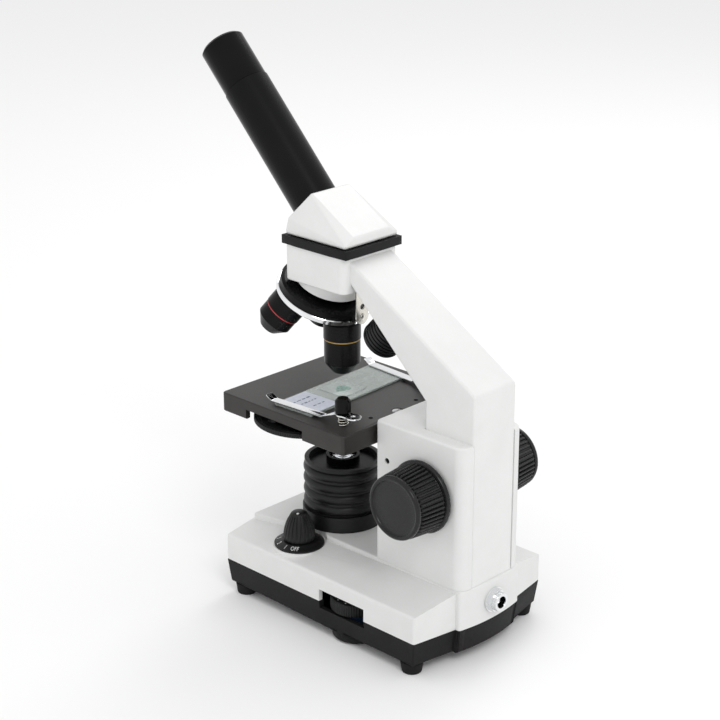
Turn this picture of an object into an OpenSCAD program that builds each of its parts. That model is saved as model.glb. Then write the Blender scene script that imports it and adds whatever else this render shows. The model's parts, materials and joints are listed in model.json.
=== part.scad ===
// Student compound microscope: monocular head, triple turret, sliding stage, lamps above and below.
// The optical axis is vertical. +Z is up, +Y is the arm side, -Y is the side of the eyepiece.

/* [Base] */
// Width of the base
base_w = 98; // [92:1:120]
// Distance from the optical axis to the front of the base
base_front = 40.5; // [38:0.5:55]
// Distance from the back corners of the base forward to the back of the column
base_inset = 8; // [4:0.5:12]
// Height of the rubber feet
foot_h = 6; // [4:0.5:12]
// Height of the black bottom tray
tray_h = 13.5; // [11:0.5:20]
// Height of the white side wall above the tray
side_h = 15; // [13:0.5:24]
// Height of the central plateau above the side wall
plateau_h = 6.5; // [4:0.5:12]
// Wall of the base shell and of the tray
wall = 2.5; // [2:0.25:3]
// Radius of a foot at its top
foot_r = 6; // [4.5:0.5:6.5]

/* [Arm] */
// Width of the arm and column
arm_w = 31; // [28:0.5:36]
// Depth of the column, front to back
column_d = 32.5; // [30:0.5:40]
// Height above the stage of the back edge where the column turns into the slanted arm
bend_rise = 28.9; // [20:0.1:40]
// Width of the head block at the top of the arm
block_w = 40; // [38:0.5:48]
// Length of the head block, front to back
block_l = 43.4; // [42:0.2:50]
// Height of the head block's top above the turret plane
block_rise = 36.85; // [34:0.05:45]
// Height of the head block
block_h = 19.2; // [16:0.2:24]

/* [Focus] */
// Width of the focus gearbox cover
gearbox_w = 46; // [44:0.5:54]
// Depth of the gearbox cover in front of the column
gearbox_d = 26; // [25:0.5:32]
// Gap between the back of the stage and the gearbox cover
stage_gap = 1.5; // [1:0.1:4]
// Height of the gearbox cover's top above the stage's top face at rest
gearbox_rise = 3.9; // [2:0.1:8]
// Distance of the focus shaft below the top of the gearbox cover
shaft_drop = 31; // [29:0.5:34]
// Radius of the focus shaft
shaft_r = 3; // [2.5:0.25:3.5]
// Pitch radius of the focus pinion
pinion_r = 6; // [6:1:7]
// Radius of a focus knob at its inner end
knob_r = 19; // [14:0.5:21]
// Length of a focus knob
knob_l = 21.5; // [14:0.5:30]

/* [Stage] */
// Side of the square stage
stage_w = 90; // [90:1:96]
// Height of the stage's top face at rest
stage_top = 114.1; // [112:0.1:115]
// Thickness of the stage plate
stage_t = 5; // [4:0.25:6]
// Depth of the stage's side flanges, from the top face
flange_d = 10.5; // [9:0.25:12]
// Radius of the hole in the stage
aperture_r = 8; // [6:0.5:10]
// Radius of the disc diaphragm
disc_r = 28.3; // [27:0.1:29]
// Sideways distance of the diaphragm's pivot from the optical axis
disc_x = 19.5; // [19:0.1:20]
// Distance of a clip's post from the two nearest edges of the stage
post_inset = 11.8; // [10:0.1:14]
// Length of the glass slide
slide_l = 76; // [75:0.5:76]
// Width of the glass slide
slide_w = 26; // [25:0.5:26]

/* [Light] */
// Radius of the lower lamp housing
lamp_r = 21.8; // [18:0.1:22]
// Height of the lower lamp housing
lamp_h = 35.7; // [30:0.1:38]
// Radius of the upper lamp housing
upper_lamp_r = 10.6; // [8:0.1:12]
// Length of the upper lamp housing
upper_lamp_l = 18.7; // [12:0.1:19]
// Radius of the selector dial
dial_r = 13.3; // [10:0.1:13.5]
// Radius of the brightness wheel
wheel_r = 14.3; // [12:0.1:14.4]

/* [Turret] */
// Angle between the turret axis and the optical axis
turret_tilt = 23; // [18:0.5:24]
// Distance of each objective's seat from the turret axis
seat_ring_r = 14.45; // [13.5:0.05:15]
// Radius of the turret's chrome ring
turret_r = 26; // [25.5:0.1:26.5]
// Height above the stage where the turret plane crosses the optical axis
nose_rise = 44.25; // [43:0.05:50]
// Radius of an objective's barrel
objective_r = 9.6; // [8:0.1:9.8]
// Length of the low-power objective below the turret plane
low_l = 25.5; // [22:0.5:28]
// Length of the middle objective below the turret plane
mid_l = 33; // [28:0.5:34]
// Length of the high-power objective below the turret plane
high_l = 36; // [30:0.5:36.5]

/* [Head] */
// Angle of the eyepiece tube above the horizontal
tube_angle = 46.3; // [42:0.1:50]
// Wall of the eyepiece tube where the eyepiece slips in
tube_wall = 0.9; // [0.8:0.05:1.5]
// Distance along the tube's axis from the head's base to the tube's end
tube_end = 92; // [80:1:120]
// Radius of the eyepiece barrel that slips into the tube
barrel_r = 11.6; // [11.5:0.05:11.7]
// Length of the eyepiece beyond the tube
eyepiece_l = 27.5; // [20:0.5:40]
// Thickness of the plate between the arm and the head
gasket_t = 4.8; // [3:0.2:6]

/* [Hidden] */
$fn = 64;

// Clearances: faces of moving neighbours, running fits and faces of fixed neighbours
gap = 0.3;
run = 0.05;
snug = 0.02;

// Lengths along the model, from the optical axis backward, and heights from the stage upward
gearbox_front = stage_w / 2 + stage_gap;
column_front = gearbox_front + gearbox_d;
column_back = column_front + column_d;
base_back = column_back - base_inset;
gearbox_top = stage_top + gearbox_rise;
column_top = stage_top + bend_rise;
shaft_z = gearbox_top - shaft_drop;
nose_z = stage_top + nose_rise;
block_top = nose_z + block_rise;

// Heights of the base
seam_z = foot_h + tray_h;
side_top = seam_z + side_h;
plateau_z = side_top + plateau_h;
plateau_w = gearbox_w;
plateau_front_w = 61;
shoulder_rise = 3;
tail_bow = 2.5;
tail_back = column_back - 1;
base_mid_y = (base_back - base_front) / 2;
tray_taper = 0.975;
foot_x = base_w / 2 - 6.5;
foot_front_y = -base_front + 8.5;
foot_back_y = base_back - 7;
screw_x = base_w / 2 - 18;
screw_front_y = -base_front + 9;
screw_back_y = base_back - 9;
screw_post_r = 3.6;
screw_r = 1.5;
cavity_top = side_top - 4;

// Selector and brightness wheel
selector_x = base_w / 2 - 15.7;
selector_y = 0.2;
selector_z = side_top + 2.4;
stem_r = 3;
notch_l = 32;
notch_h = 6.8;
notch_y = gearbox_front;
wheel_x = base_w / 2 - wheel_r - 0.2;
wheel_y = notch_y - 2.1;
wheel_z = seam_z - 3.3;
wheel_t = 7;
wheel_gap = 0.8;
boss_r = wheel_r - 1;
boss_h = foot_h - 1;
boss_wall = 1.5;

// Arm
arm_top_back = block_l / 2 - 0.5;
block_y = -0.5;
block_bottom = block_top - block_h;
block_corner = 4;
shaft_y = column_front + pinion_r + 1.5;
inner_top_y = arm_top_back;
inner_top_z = block_bottom + 5;
inner_slope = 43.5;
inner_low_z = inner_top_z - (column_front - inner_top_y) * tan(inner_slope);
light_r = 5.5;
bolt_r = 2.5;
bolt_y = [column_front + 5.5, column_front + 15.5];
bolt_block_l = 20.5;
bolt_top = plateau_z + 18;
bolt_head_h = 4;

// Gearbox
cheek_wall = 3;
knob_gap = 1.6;
rack_y = shaft_y - pinion_r;
tooth_module = 1;
tooth_count = 2 * pinion_r / tooth_module;
tooth_pitch = PI * tooth_module;
rail_z = plateau_z + 8;
rail_top = gearbox_top - 3.2;
travel_up = 6.2;
travel_down = 14;
carriage_top = gearbox_top - cheek_wall - travel_up - 0.8;
carriage_h = 40;
carriage_z = carriage_top - carriage_h;
bracket_w = 26;
bracket_h = 9;
stage_under = stage_top - stage_t;
bracket_front = stage_w / 2 - 20.5;
carriage_front = gearbox_front + cheek_wall + 7;
dovetail_front = rack_y - 12.3;
dovetail_back = rack_y - 3.8;
dovetail_narrow = 5.5;
dovetail_wide = 8.5;

// Stage
slide_t = 1;
slip_t = 0.17;
slip_w = 18;
slide_angle = 2.6;
disc_y = -6;
disc_t = 3.4;
disc_margin = 2.25;
disc_drop = 3.4;
disc_z = stage_under - disc_drop - 0.2 - disc_t;
disc_hole_count = 6;
disc_hole_ring = norm([disc_x, disc_y]);
disc_hole_r = [4.5, 3, 2, 3.5, 6, 7];
pivot_r = 2;
clip_angle = 4;
clip_t = 0.8;
clip_w = 5;
clip_rise = 5.4;
post_r = 1.6;
post_h = 14.6;
thread_hole_x = 17;
thread_hole_y = stage_w / 2 - 8;
thread_hole_r = 1.25;
fix_screw_y = stage_w / 2 - 5.5;
under_screw_x = 8;
under_screw_y = fix_screw_y - 9;
post_xy = stage_w / 2 - post_inset;
flange_t = 3;

// Lamps
rib_count = 4;
drum_h = 8.6;
rim_h = 1.7;
lens_ring_r = 9;
lens_ring_top = plateau_z + lamp_h + 1.6;
upper_lamp_y = 40.6;

// Turret
turret_y = -seat_ring_r * cos(turret_tilt);
turret_z = nose_z + seat_ring_r * sin(turret_tilt);
turret_seat_h = 10.1;
turret_seat_r = 18.5;
turret_bolt_r = 2.5;
socket_r = 8;
neck_r = 14;
spring_y = 14;

// Head
head_z = block_top + gasket_t;
tube_foot_y = -5.6;
tube_start = 14.5;
tube_r = barrel_r + tube_wall;
collar_r = tube_r + 1.4;
collar_end = 18;
collar_l = collar_end - collar_r / tan(tube_angle) - 0.15;
spigot_r = 14;
ridge_w = 28.8;
tube_bore_r = barrel_r + run;

// The body of the model is centred front to back on its own overall length
eyepiece_top = tube_end + eyepiece_l;
eyepiece_r = tube_r - 0.4;
eye_lens_r = 7;
barrel_l = 21;
front_reach = -tube_foot_y + eyepiece_top * cos(tube_angle) + eyepiece_r * sin(tube_angle);
jack_out = 5.6;
jack_z = seam_z + 10.5;
jack_body = 6;
jack_seat = tail_back - 1;
back_reach = tail_back + tail_bow + jack_out;
axis_y = (front_reach - back_reach) / 2;

module placed() { translate([0, axis_y, 0]) children(); }
module on_tube(along = 0) {
  placed() translate([0, tube_foot_y, head_z]) rotate([90 - tube_angle, 0, 0])
    translate([0, 0, along]) children();
}
module on_turret(h = 0) {
  placed() translate([0, turret_y, turret_z]) rotate([-turret_tilt, 0, 0]) translate([0, 0, h]) children();
}
module on_seat(angle) {
  on_turret() rotate([0, 0, angle]) translate([0, seat_ring_r, 0]) rotate([turret_tilt, 0, 0]) children();
}
module on_shaft() { placed() translate([0, shaft_y, shaft_z]) rotate([0, 90, 0]) children(); }
module on_upper_lamp(along = 0) {
  placed() translate([0, upper_lamp_y, inner_top_z - (upper_lamp_y - inner_top_y) * tan(inner_slope)])
    rotate([180 - inner_slope, 0, 0]) translate([0, 0, along]) children();
}

module rounded_rect(w, l, r) {
  square([w - 2 * r, l], center = true);
  square([w, l - 2 * r], center = true);
  for (x = [-1, 1], y = [-1, 1]) translate([x * (w / 2 - r), y * (l / 2 - r)]) circle(r);
}
module tube_solid(outer, inner, h) {
  difference() {
    cylinder(r = outer, h = h);
    translate([0, 0, -1]) cylinder(r = inner, h = h + 2);
  }
}

// Outline of the base, pulled in by a margin: a box with slightly bowed back and a square tail
module base_outline(margin = 0) {
  half = base_w / 2 - margin;
  tail = plateau_w / 2 - margin;
  arc_r = (pow(plateau_w / 2, 2) + tail_bow * tail_bow) / (2 * tail_bow) - margin;
  polygon([
    [-half, -base_front + margin], [half, -base_front + margin], [half, base_back - margin],
    [tail, tail_back - tail_bow - margin], [-tail, tail_back - tail_bow - margin], [-half,
      base_back - margin]
  ]);
  intersection() {
    translate([-tail, 0]) square([2 * tail, column_back + 10]);
    translate([0, tail_back + tail_bow - margin - arc_r]) circle(arc_r, $fn = 180);
  }
}
module plateau_outline() {
  front = -base_front + 2;
  tail = plateau_w / 2;
  polygon([
    [-plateau_front_w / 2, front], [plateau_front_w / 2, front], [tail, -2], [tail, tail_back + 1],
    [-tail, tail_back + 1], [-tail, -2]
  ]);
}
module base_shell() {
  color("whitesmoke") placed() difference() {
    union() {
      intersection() {
        translate([0, 0, seam_z]) linear_extrude(side_h + plateau_h) base_outline();
        union() {
          hull() {
            translate([-base_w / 2, -base_front, seam_z]) cube([base_w, base_front + base_back, side_h]);
            translate([-plateau_w / 2, 0, seam_z]) cube([plateau_w, column_back + 4, side_h]);
            translate([-plateau_front_w / 2, -base_front, side_top])
              cube([plateau_front_w, 1, shoulder_rise]);
            translate([-plateau_w / 2, tail_back, side_top]) cube([plateau_w, 4, plateau_h - 1]);
          }
          translate([0, 0, seam_z]) linear_extrude(side_h + plateau_h) difference() {
            plateau_outline();
            translate([selector_x, selector_y]) circle(dial_r + 1.2);
          }
        }
      }
      translate([selector_x, selector_y, seam_z]) cylinder(r = dial_r + 0.6, h = selector_z - seam_z);
    }
    difference() {
      translate([0, 0, seam_z - 1]) linear_extrude(cavity_top - seam_z + 1) base_outline(wall);
      for (x = [-1, 1], y = [screw_front_y, screw_back_y])
        translate([x * screw_x, y, seam_z - 1]) cylinder(r = screw_post_r, h = side_h + 1);
      translate([-arm_w / 2, column_front, seam_z + 8]) cube([arm_w, bolt_block_l, side_h]);
    }
    for (x = [-1, 1], y = [screw_front_y, screw_back_y])
      translate([x * screw_x, y, seam_z - 1]) cylinder(r = screw_r + snug, h = 9);
    for (y = bolt_y) translate([0, y, seam_z]) cylinder(r = bolt_r + snug, h = side_h + plateau_h + 1);
    translate([selector_x, selector_y, cavity_top - 1]) cylinder(r = stem_r + 1.6, h = plateau_z);
    translate([selector_x, selector_y, selector_z]) cylinder(r = dial_r + 1.2, h = plateau_h);
    translate([0, 0, cavity_top - 1]) cylinder(r = light_r, h = plateau_z);
    translate([base_w / 2 - wall - 4, notch_y - notch_l / 2, seam_z - 1])
      cube([wall + 6, notch_l, notch_h + 1]);
    translate([0, jack_seat - jack_body - 1, jack_z]) rotate([-90, 0, 0])
      cylinder(r = 6.3, h = jack_body + 1);
    translate([0, jack_seat - 1, jack_z]) rotate([-90, 0, 0]) cylinder(r = 4.9, h = 20);
  }
}
module bottom_tray() {
  color([0.13, 0.13, 0.13]) placed() difference() {
    union() {
      translate([0, base_mid_y, seam_z]) mirror([0, 0, 1])
        linear_extrude(tray_h, scale = tray_taper) translate([0, -base_mid_y]) base_outline();
      translate([wheel_x, wheel_y, foot_h - boss_h]) cylinder(r = boss_r, h = boss_h + wall);
    }
    translate([0, base_mid_y, foot_h + wall]) linear_extrude(tray_h) scale(tray_taper)
      translate([0, -base_mid_y]) base_outline(wall);
    translate([wheel_x, wheel_y, foot_h - boss_h + boss_wall]) cylinder(r = boss_r - 2, h = tray_h);
    translate([base_w / 2 - wall - 4, notch_y - notch_l / 2, wheel_z - wheel_gap])
      cube([wall + 6, notch_l, tray_h]);
    for (x = [-1, 1], y = [screw_front_y, screw_back_y]) translate([x * screw_x, y, 0]) {
      cylinder(r = screw_r + snug, h = seam_z);
      cylinder(r = 2 * screw_r + 0.2, h = foot_h + 1.3);
    }
    for (x = [-1, 1], y = [foot_front_y, foot_back_y])
      translate([x * foot_x, y, 0]) cylinder(r = 2, h = seam_z);
  }
}
module foot(x, y) {
  color([0.08, 0.08, 0.08]) placed() translate([x, y, 0]) {
    cylinder(r1 = foot_r - 0.9, r2 = foot_r, h = foot_h, $fn = 48);
    cylinder(r = 2 - snug, h = foot_h + wall + 0.6);
  }
}
module foot_front_right() { foot(foot_x, foot_front_y); }
module foot_front_left() { foot(-foot_x, foot_front_y); }
module foot_back_right() { foot(foot_x, foot_back_y); }
module foot_back_left() { foot(-foot_x, foot_back_y); }
module tray_screws() {
  color("silver") placed() for (x = [-1, 1], y = [screw_front_y, screw_back_y])
    translate([x * screw_x, y, foot_h + 0.2]) difference() {
      union() {
        cylinder(r = 2 * screw_r, h = 1.1);
        cylinder(r = screw_r, h = tray_h + 5);
      }
      translate([-3, -0.3, -1]) cube([6, 0.6, 1.5]);
    }
}
module arm_bolts() {
  color("silver") placed() for (y = bolt_y) translate([0, y, seam_z + 8 - bolt_head_h]) {
    cylinder(r = bolt_r, h = bolt_top - seam_z - 8 + bolt_head_h);
    cylinder(r = bolt_r + 2, h = bolt_head_h, $fn = 6);
  }
}

// Arm casting: column, slanted arm, head block and the slanted seat of the turret
module arm() {
  color("whitesmoke") difference() {
    union() {
      placed() translate([-arm_w / 2, 0, 0]) rotate([90, 0, 90]) linear_extrude(arm_w) polygon([
        [column_front, plateau_z], [column_back, plateau_z], [column_back, column_top],
        [arm_top_back - 0.7, block_top - 1.7], [0, block_top - 1.7], [0, inner_top_z], [inner_top_y,
          inner_top_z],
        [column_front, inner_low_z]
      ]);
      placed() translate([0, block_y, block_bottom]) linear_extrude(block_h)
        rounded_rect(block_w, block_l, block_corner);
      intersection() {
        on_turret(turret_seat_h) cylinder(r = turret_seat_r, h = 16, $fn = 96);
        placed() translate([0, block_y, nose_z]) linear_extrude(block_top - nose_z)
          rounded_rect(block_w, block_l, block_corner);
      }
    }
    placed() translate([0, 0, nose_z]) cylinder(r = light_r, h = block_top);
    placed() translate([-5, spring_y - 3.6, nose_z]) cube([10, 6, block_bottom - nose_z]);
    on_turret() cylinder(r = neck_r + gap, h = turret_seat_h);
    on_turret(turret_seat_h - 1) cylinder(r = turret_bolt_r + snug, h = 10);
    on_shaft() translate([0, 0, -arm_w]) cylinder(r = shaft_r + 0.5, h = 2 * arm_w);
    placed() translate([-pinion_r - 1, column_front - 1, shaft_z - pinion_r - 2])
      cube([2 * pinion_r + 2, pinion_r * 2 + 4, 2 * pinion_r + 4]);
    placed() translate([-4.6, column_front - 1, rail_z]) cube([9.2, rack_y + 1.8 - column_front + 1,
      rail_top - rail_z]);
    placed() for (y = bolt_y) translate([0, y, plateau_z - 1]) cylinder(r = bolt_r + snug, h = 19.2);
  }
}
module gearbox_outline(w, front, corner) {
  difference() {
    translate([-w / 2, front]) square([w, column_back - front]);
    for (x = [-1, 1]) translate([x * w / 2, column_back]) circle(corner, $fn = 4);
  }
}
module gearbox_cover() {
  corner = (gearbox_w - arm_w) / 2 - 1;
  length = column_back - gearbox_front;
  slot_low = stage_under - bracket_h - travel_down - 15.1;
  color("whitesmoke") difference() {
    placed() translate([0, gearbox_front + length / 2, plateau_z]) linear_extrude(gearbox_top - plateau_z) {
      translate([0, -corner / 2]) rounded_rect(gearbox_w, length - corner, 1.5);
      rounded_rect(gearbox_w, length, corner);
    }
    placed() translate([-arm_w / 2 - snug, column_front - snug, 0])
      cube([arm_w + 2 * snug, column_back, gearbox_top + 1]);
    placed() translate([-gearbox_w / 2 + cheek_wall, gearbox_front + cheek_wall, plateau_z - 1])
      cube([gearbox_w - 2 * cheek_wall, column_front - gearbox_front - cheek_wall,
        gearbox_top - plateau_z - cheek_wall + 1]);
    placed() translate([-bracket_w / 2 - 0.6, gearbox_front - 1, slot_low])
      cube([bracket_w + 1.2, 2 * cheek_wall, stage_under + 5.5 - slot_low]);
    on_shaft() translate([0, 0, -gearbox_w]) cylinder(r = shaft_r + 1.5 + snug, h = 2 * gearbox_w);
    placed() for (x = [-1, 1]) translate([x * gearbox_w / 2, gearbox_front + 7.6, gearbox_top - 20.7])
      rotate([0, 90, 0]) cylinder(r = 1.6, h = 2 * cheek_wall + 1, center = true);
  }
}
module cover_screws() {
  color("silver") placed() for (x = [-1, 1])
    translate([x * (gearbox_w / 2 - 0.8), gearbox_front + 7.6, gearbox_top - 20.7]) rotate([0, x * 90, 0])
      difference() {
        translate([0, 0, -cheek_wall]) cylinder(r = 1.55, h = cheek_wall);
        translate([0, 0, -0.8]) cylinder(r = 0.8, h = 2, $fn = 6);
      }
}
module shaft_bushes() {
  inner = arm_w / 2 + 0.1;
  color("goldenrod") on_shaft() for (z = [inner, -gearbox_w / 2])
    translate([0, 0, z]) tube_solid(shaft_r + 1.5, shaft_r + run, gearbox_w / 2 - inner);
}
module focus_shaft() {
  length = gearbox_w + 2 * knob_l - 10;
  color("silver") on_shaft() translate([0, 0, -length / 2]) cylinder(r = shaft_r, h = length);
}

// Narrow straight-flanked teeth leave backlash, so the pinion and the rack never bind
module pinion() {
  root_r = pinion_r - 1.15 * tooth_module;
  tip_r = pinion_r + 0.8 * tooth_module;
  color("goldenrod") on_shaft() translate([0, 0, -4]) linear_extrude(8) difference() {
    union() {
      circle(root_r);
      for (i = [0 : tooth_count - 1]) rotate(i * 360 / tooth_count) polygon([
        [root_r - 0.3, -0.75], [pinion_r, -0.55], [tip_r, -0.25], [tip_r, 0.25], [pinion_r, 0.55],
        [root_r - 0.3, 0.75]
      ]);
    }
    circle(shaft_r + snug);
  }
}
module focus_knob(side) {
  start = gearbox_w / 2 + knob_gap;
  face_r = knob_r - 2.7;
  color([0.1, 0.1, 0.1]) on_shaft() mirror([0, 0, side > 0 ? 0 : 1]) translate([0, 0, start]) difference() {
    rotate_extrude($fn = 96) polygon([
      [0, 0], [knob_r - 0.8, 0], [knob_r, 0.8], [knob_r, 2.6], [knob_r - 1.2, 3], [face_r, knob_l - 1],
      [face_r - 1, knob_l], [face_r - 2.2, knob_l], [face_r - 2.8, knob_l - 0.7], [0, knob_l - 0.7]
    ]);
    translate([0, 0, -1]) cylinder(r = shaft_r + snug, h = knob_l - 5 - knob_gap + 1.1);
  }
}
module focus_knob_right() { focus_knob(1); }
module focus_knob_left() { focus_knob(-1); }
module rack() {
  teeth = 10;
  low = shaft_z - travel_up - 6;
  first = shaft_z + tooth_pitch / 2 - 3 * tooth_pitch;
  color("goldenrod") placed() {
    translate([-4, dovetail_back + snug, low])
      cube([8, rack_y - 1.2 - dovetail_back - snug, first + teeth * tooth_pitch - low - 2]);
    for (i = [0 : teeth - 1]) translate([-4, rack_y, first + i * tooth_pitch]) rotate([90, 0, 90])
      linear_extrude(8) polygon([
        [-1.25, -0.8], [0, -0.55], [0.75, -0.25], [0.75, 0.25], [0, 0.55], [-1.25, 0.8]
      ]);
  }
}
module stage_carriage() {
  color([0.2, 0.2, 0.2]) placed() difference() {
    union() {
      translate([0, 0, carriage_z]) linear_extrude(carriage_h) {
        translate([-bracket_w / 2, carriage_front]) square([bracket_w,
          dovetail_front - gap - carriage_front]);
        polygon([
          [-dovetail_narrow, dovetail_front - 1], [dovetail_narrow, dovetail_front - 1],
          [dovetail_narrow, dovetail_front], [dovetail_wide, dovetail_back], [-dovetail_wide,
            dovetail_back],
          [-dovetail_narrow, dovetail_front]
        ]);
      }
      translate([-bracket_w / 2, bracket_front, stage_under - bracket_h])
        cube([bracket_w, carriage_front - bracket_front + 1, bracket_h]);
    }
    translate([0, fix_screw_y, stage_under - 5]) cylinder(r = 1.5 + snug, h = 6);
    for (x = [-1, 1]) translate([x * under_screw_x, under_screw_y, stage_under - bracket_h - 1])
      cylinder(r = 1.5 + snug, h = bracket_h + 2);
  }
}
module guide_rails() {
  back = column_front - snug;
  color("silver") placed() for (x = [0, 1]) mirror([x, 0, 0]) translate([0, 0, rail_z])
    linear_extrude(rail_top - rail_z) polygon([
      [dovetail_narrow + gap, dovetail_front], [dovetail_wide + gap, dovetail_back],
      [dovetail_wide + gap + 0.2, back], [arm_w / 2 - 0.3, back], [arm_w / 2 - 0.3, dovetail_front]
    ]);
}
module stage_plate() {
  half = stage_w / 2;
  disc_slot = 2 * sqrt(pow(disc_r + 1, 2) - pow(half - flange_t - disc_x, 2)) + 2 * disc_margin;
  color([0.16, 0.16, 0.16]) placed() difference() {
    translate([0, 0, stage_top - flange_d]) linear_extrude(flange_d) rounded_rect(stage_w, stage_w, 2);
    translate([-half + flange_t, -half + flange_t, stage_top - flange_d - 1]) difference() {
      cube([stage_w - 2 * flange_t, stage_w - 2 * flange_t, flange_d - stage_t + 1]);
      translate([disc_x + half - flange_t, disc_y + half - flange_t, flange_d - stage_t + 1 - disc_drop])
        cylinder(r = 5, h = disc_drop + 1);
    }
    translate([-19, half - flange_t - 1, stage_top - flange_d - 1])
      cube([38, flange_t + 2, flange_d - stage_t + 1]);
    translate([half - flange_t - 1, disc_y + 0.5 - disc_slot / 2, stage_top - flange_d - 1])
      cube([flange_t + 2, disc_slot, flange_d - stage_t + 0.8]);
    translate([0, 0, stage_under - 1]) cylinder(r = aperture_r, h = stage_t + 2);
    for (x = [-1, 1]) {
      translate([x * thread_hole_x, thread_hole_y, stage_under - 1])
        cylinder(r = thread_hole_r, h = stage_t + 2);
      translate([x * post_xy, post_xy, stage_under - 1]) cylinder(r = post_r + snug, h = stage_t + 2);
      translate([x * under_screw_x, under_screw_y, stage_under - 1]) cylinder(r = 1.5 + snug, h = 4);
    }
    translate([0, fix_screw_y, stage_under - 1]) cylinder(r = 1.5 + snug, h = stage_t + 2);
    translate([0, fix_screw_y, stage_top - 1.6]) cylinder(r = 2.8, h = 2);
    translate([disc_x, disc_y, stage_under - disc_drop - 1]) cylinder(r = pivot_r - 0.4, h = disc_drop + 4);
  }
}
module stage_screws() {
  color("dimgray") placed() {
    translate([0, fix_screw_y, stage_top - 1.6]) difference() {
      union() {
        cylinder(r = 2.7, h = 1.3);
        translate([0, 0, -stage_t + 1.6 - 4.5]) cylinder(r = 1.5, h = stage_t + 3);
      }
      translate([-3, -0.35, 0.7]) cube([6, 0.7, 1]);
    }
    for (x = [-1, 1]) translate([x * under_screw_x, under_screw_y, stage_under - bracket_h - 2]) {
      cylinder(r = 2.7, h = 1.9);
      cylinder(r = 1.5, h = bracket_h + 4.5);
    }
  }
}
module diaphragm_disc() {
  rest = atan2(-disc_y, -disc_x);
  color([0.14, 0.14, 0.14]) placed() translate([disc_x, disc_y, disc_z]) difference() {
    union() {
      cylinder(r = disc_r - 1.2, h = disc_t, $fn = 120);
      translate([0, 0, 0.5]) cylinder(r = disc_r, h = disc_t - 1, $fn = 120);
    }
    translate([0, 0, -1]) cylinder(r = pivot_r + run, h = disc_t + 2);
    for (i = [0 : disc_hole_count - 1]) rotate(rest + i * 360 / disc_hole_count)
      translate([disc_hole_ring, 0, -1]) cylinder(r = disc_hole_r[i], h = disc_t + 2);
  }
}
module diaphragm_pivot() {
  color("silver") placed() translate([disc_x, disc_y, disc_z - 2.2]) {
    cylinder(r = 4.5, h = 2);
    cylinder(r = pivot_r, h = disc_t + 2.35);
    cylinder(r = pivot_r - 0.4 - snug, h = disc_t + disc_drop + 4);
  }
}

// A bent spring strip: its profile runs forward from the post, down to the slide and up at the tip
module clip_profile() {
  low = slide_t + slip_t;
  path = [[7, clip_rise], [-4, clip_rise], [-13, low], [-47, low], [-50.5, low + 2.4]];
  last = len(path) - 1;
  polygon(concat(
    [for (p = path) p],
    [for (i = [0 : last]) path[last - i] + [0, clip_t]]
  ));
}
module clip(side) {
  pad_r = 4;
  color("gainsboro") placed() translate([side * post_xy, post_xy, stage_top]) rotate(side * clip_angle)
    difference() {
      union() {
        translate([-clip_w / 2, 0, 0]) rotate([90, 0, 90]) linear_extrude(clip_w) clip_profile();
        translate([0, 0, clip_rise]) linear_extrude(clip_t) {
          for (y = [0, 7]) translate([0, y]) circle(pad_r);
          translate([-pad_r + 0.5, 0]) square([2 * pad_r - 1, 7]);
        }
      }
      translate([0, 0, clip_rise - 1]) cylinder(r = post_r + run, h = clip_t + 2);
      translate([0, 7, clip_rise - 1]) cylinder(r = 1.3, h = clip_t + 2);
    }
}
module clip_right() { clip(1); }
module clip_left() { clip(-1); }
module clip_knob(side) {
  bottom = clip_rise + clip_t + 0.3;
  color([0.07, 0.07, 0.07]) placed() translate([side * post_xy, post_xy, stage_top]) {
    translate([0, 0, -stage_t]) cylinder(r = post_r, h = stage_t + post_h - 2);
    translate([0, 0, bottom]) rotate_extrude() polygon([
      [0, 0], [3.2, 0], [4.1, 1], [4.1, post_h - bottom - 1.4], [2.8, post_h - bottom], [0, post_h - bottom]
    ]);
  }
}
module clip_knob_right() { clip_knob(1); }
module clip_knob_left() { clip_knob(-1); }

// Round wire wound on a helix, as one closed sweep
module coil(radius, wire_r, height, turns, sides = 8, steps = 20) {
  rings = turns * steps;
  points = [
    for (i = [0 : rings], j = [0 : sides - 1])
      let (turn = 360 * i / steps, around = 360 * j / sides, r = radius + wire_r * cos(around))
        [r * cos(turn), r * sin(turn), height * i / rings + wire_r * sin(around)]
  ];
  faces = concat(
    [[for (j = [0 : sides - 1]) j]],
    [for (i = [0 : rings - 1], j = [0 : sides - 1])
      [i * sides + j, (i + 1) * sides + j, (i + 1) * sides + (j + 1) % sides, i * sides + (j + 1) % sides]],
    [[for (j = [sides - 1 : -1 : 0]) rings * sides + j]]
  );
  polyhedron(points, faces);
}
module clip_spring(side) {
  color("silver") placed() translate([side * post_xy, post_xy, stage_top + 0.5])
    coil(radius = 2.5, wire_r = 0.35, height = clip_rise - 1.1, turns = 3);
}
module clip_spring_right() { clip_spring(1); }
module clip_spring_left() { clip_spring(-1); }
module glass_slide() {
  color([0.75, 0.9, 0.88, 0.5]) placed() translate([0, 0, stage_top + 0.03]) rotate(slide_angle)
    translate([-slide_l / 2, -slide_w / 2, 0]) cube([slide_l, slide_w, slide_t]);
}
module cover_slip() {
  color([0.8, 0.95, 0.93, 0.4]) placed() translate([0, 0, stage_top + 0.03 + slide_t]) rotate(slide_angle)
    translate([-slip_w / 2, -slip_w / 2, 0]) cube([slip_w, slip_w, slip_t]);
}

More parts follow.
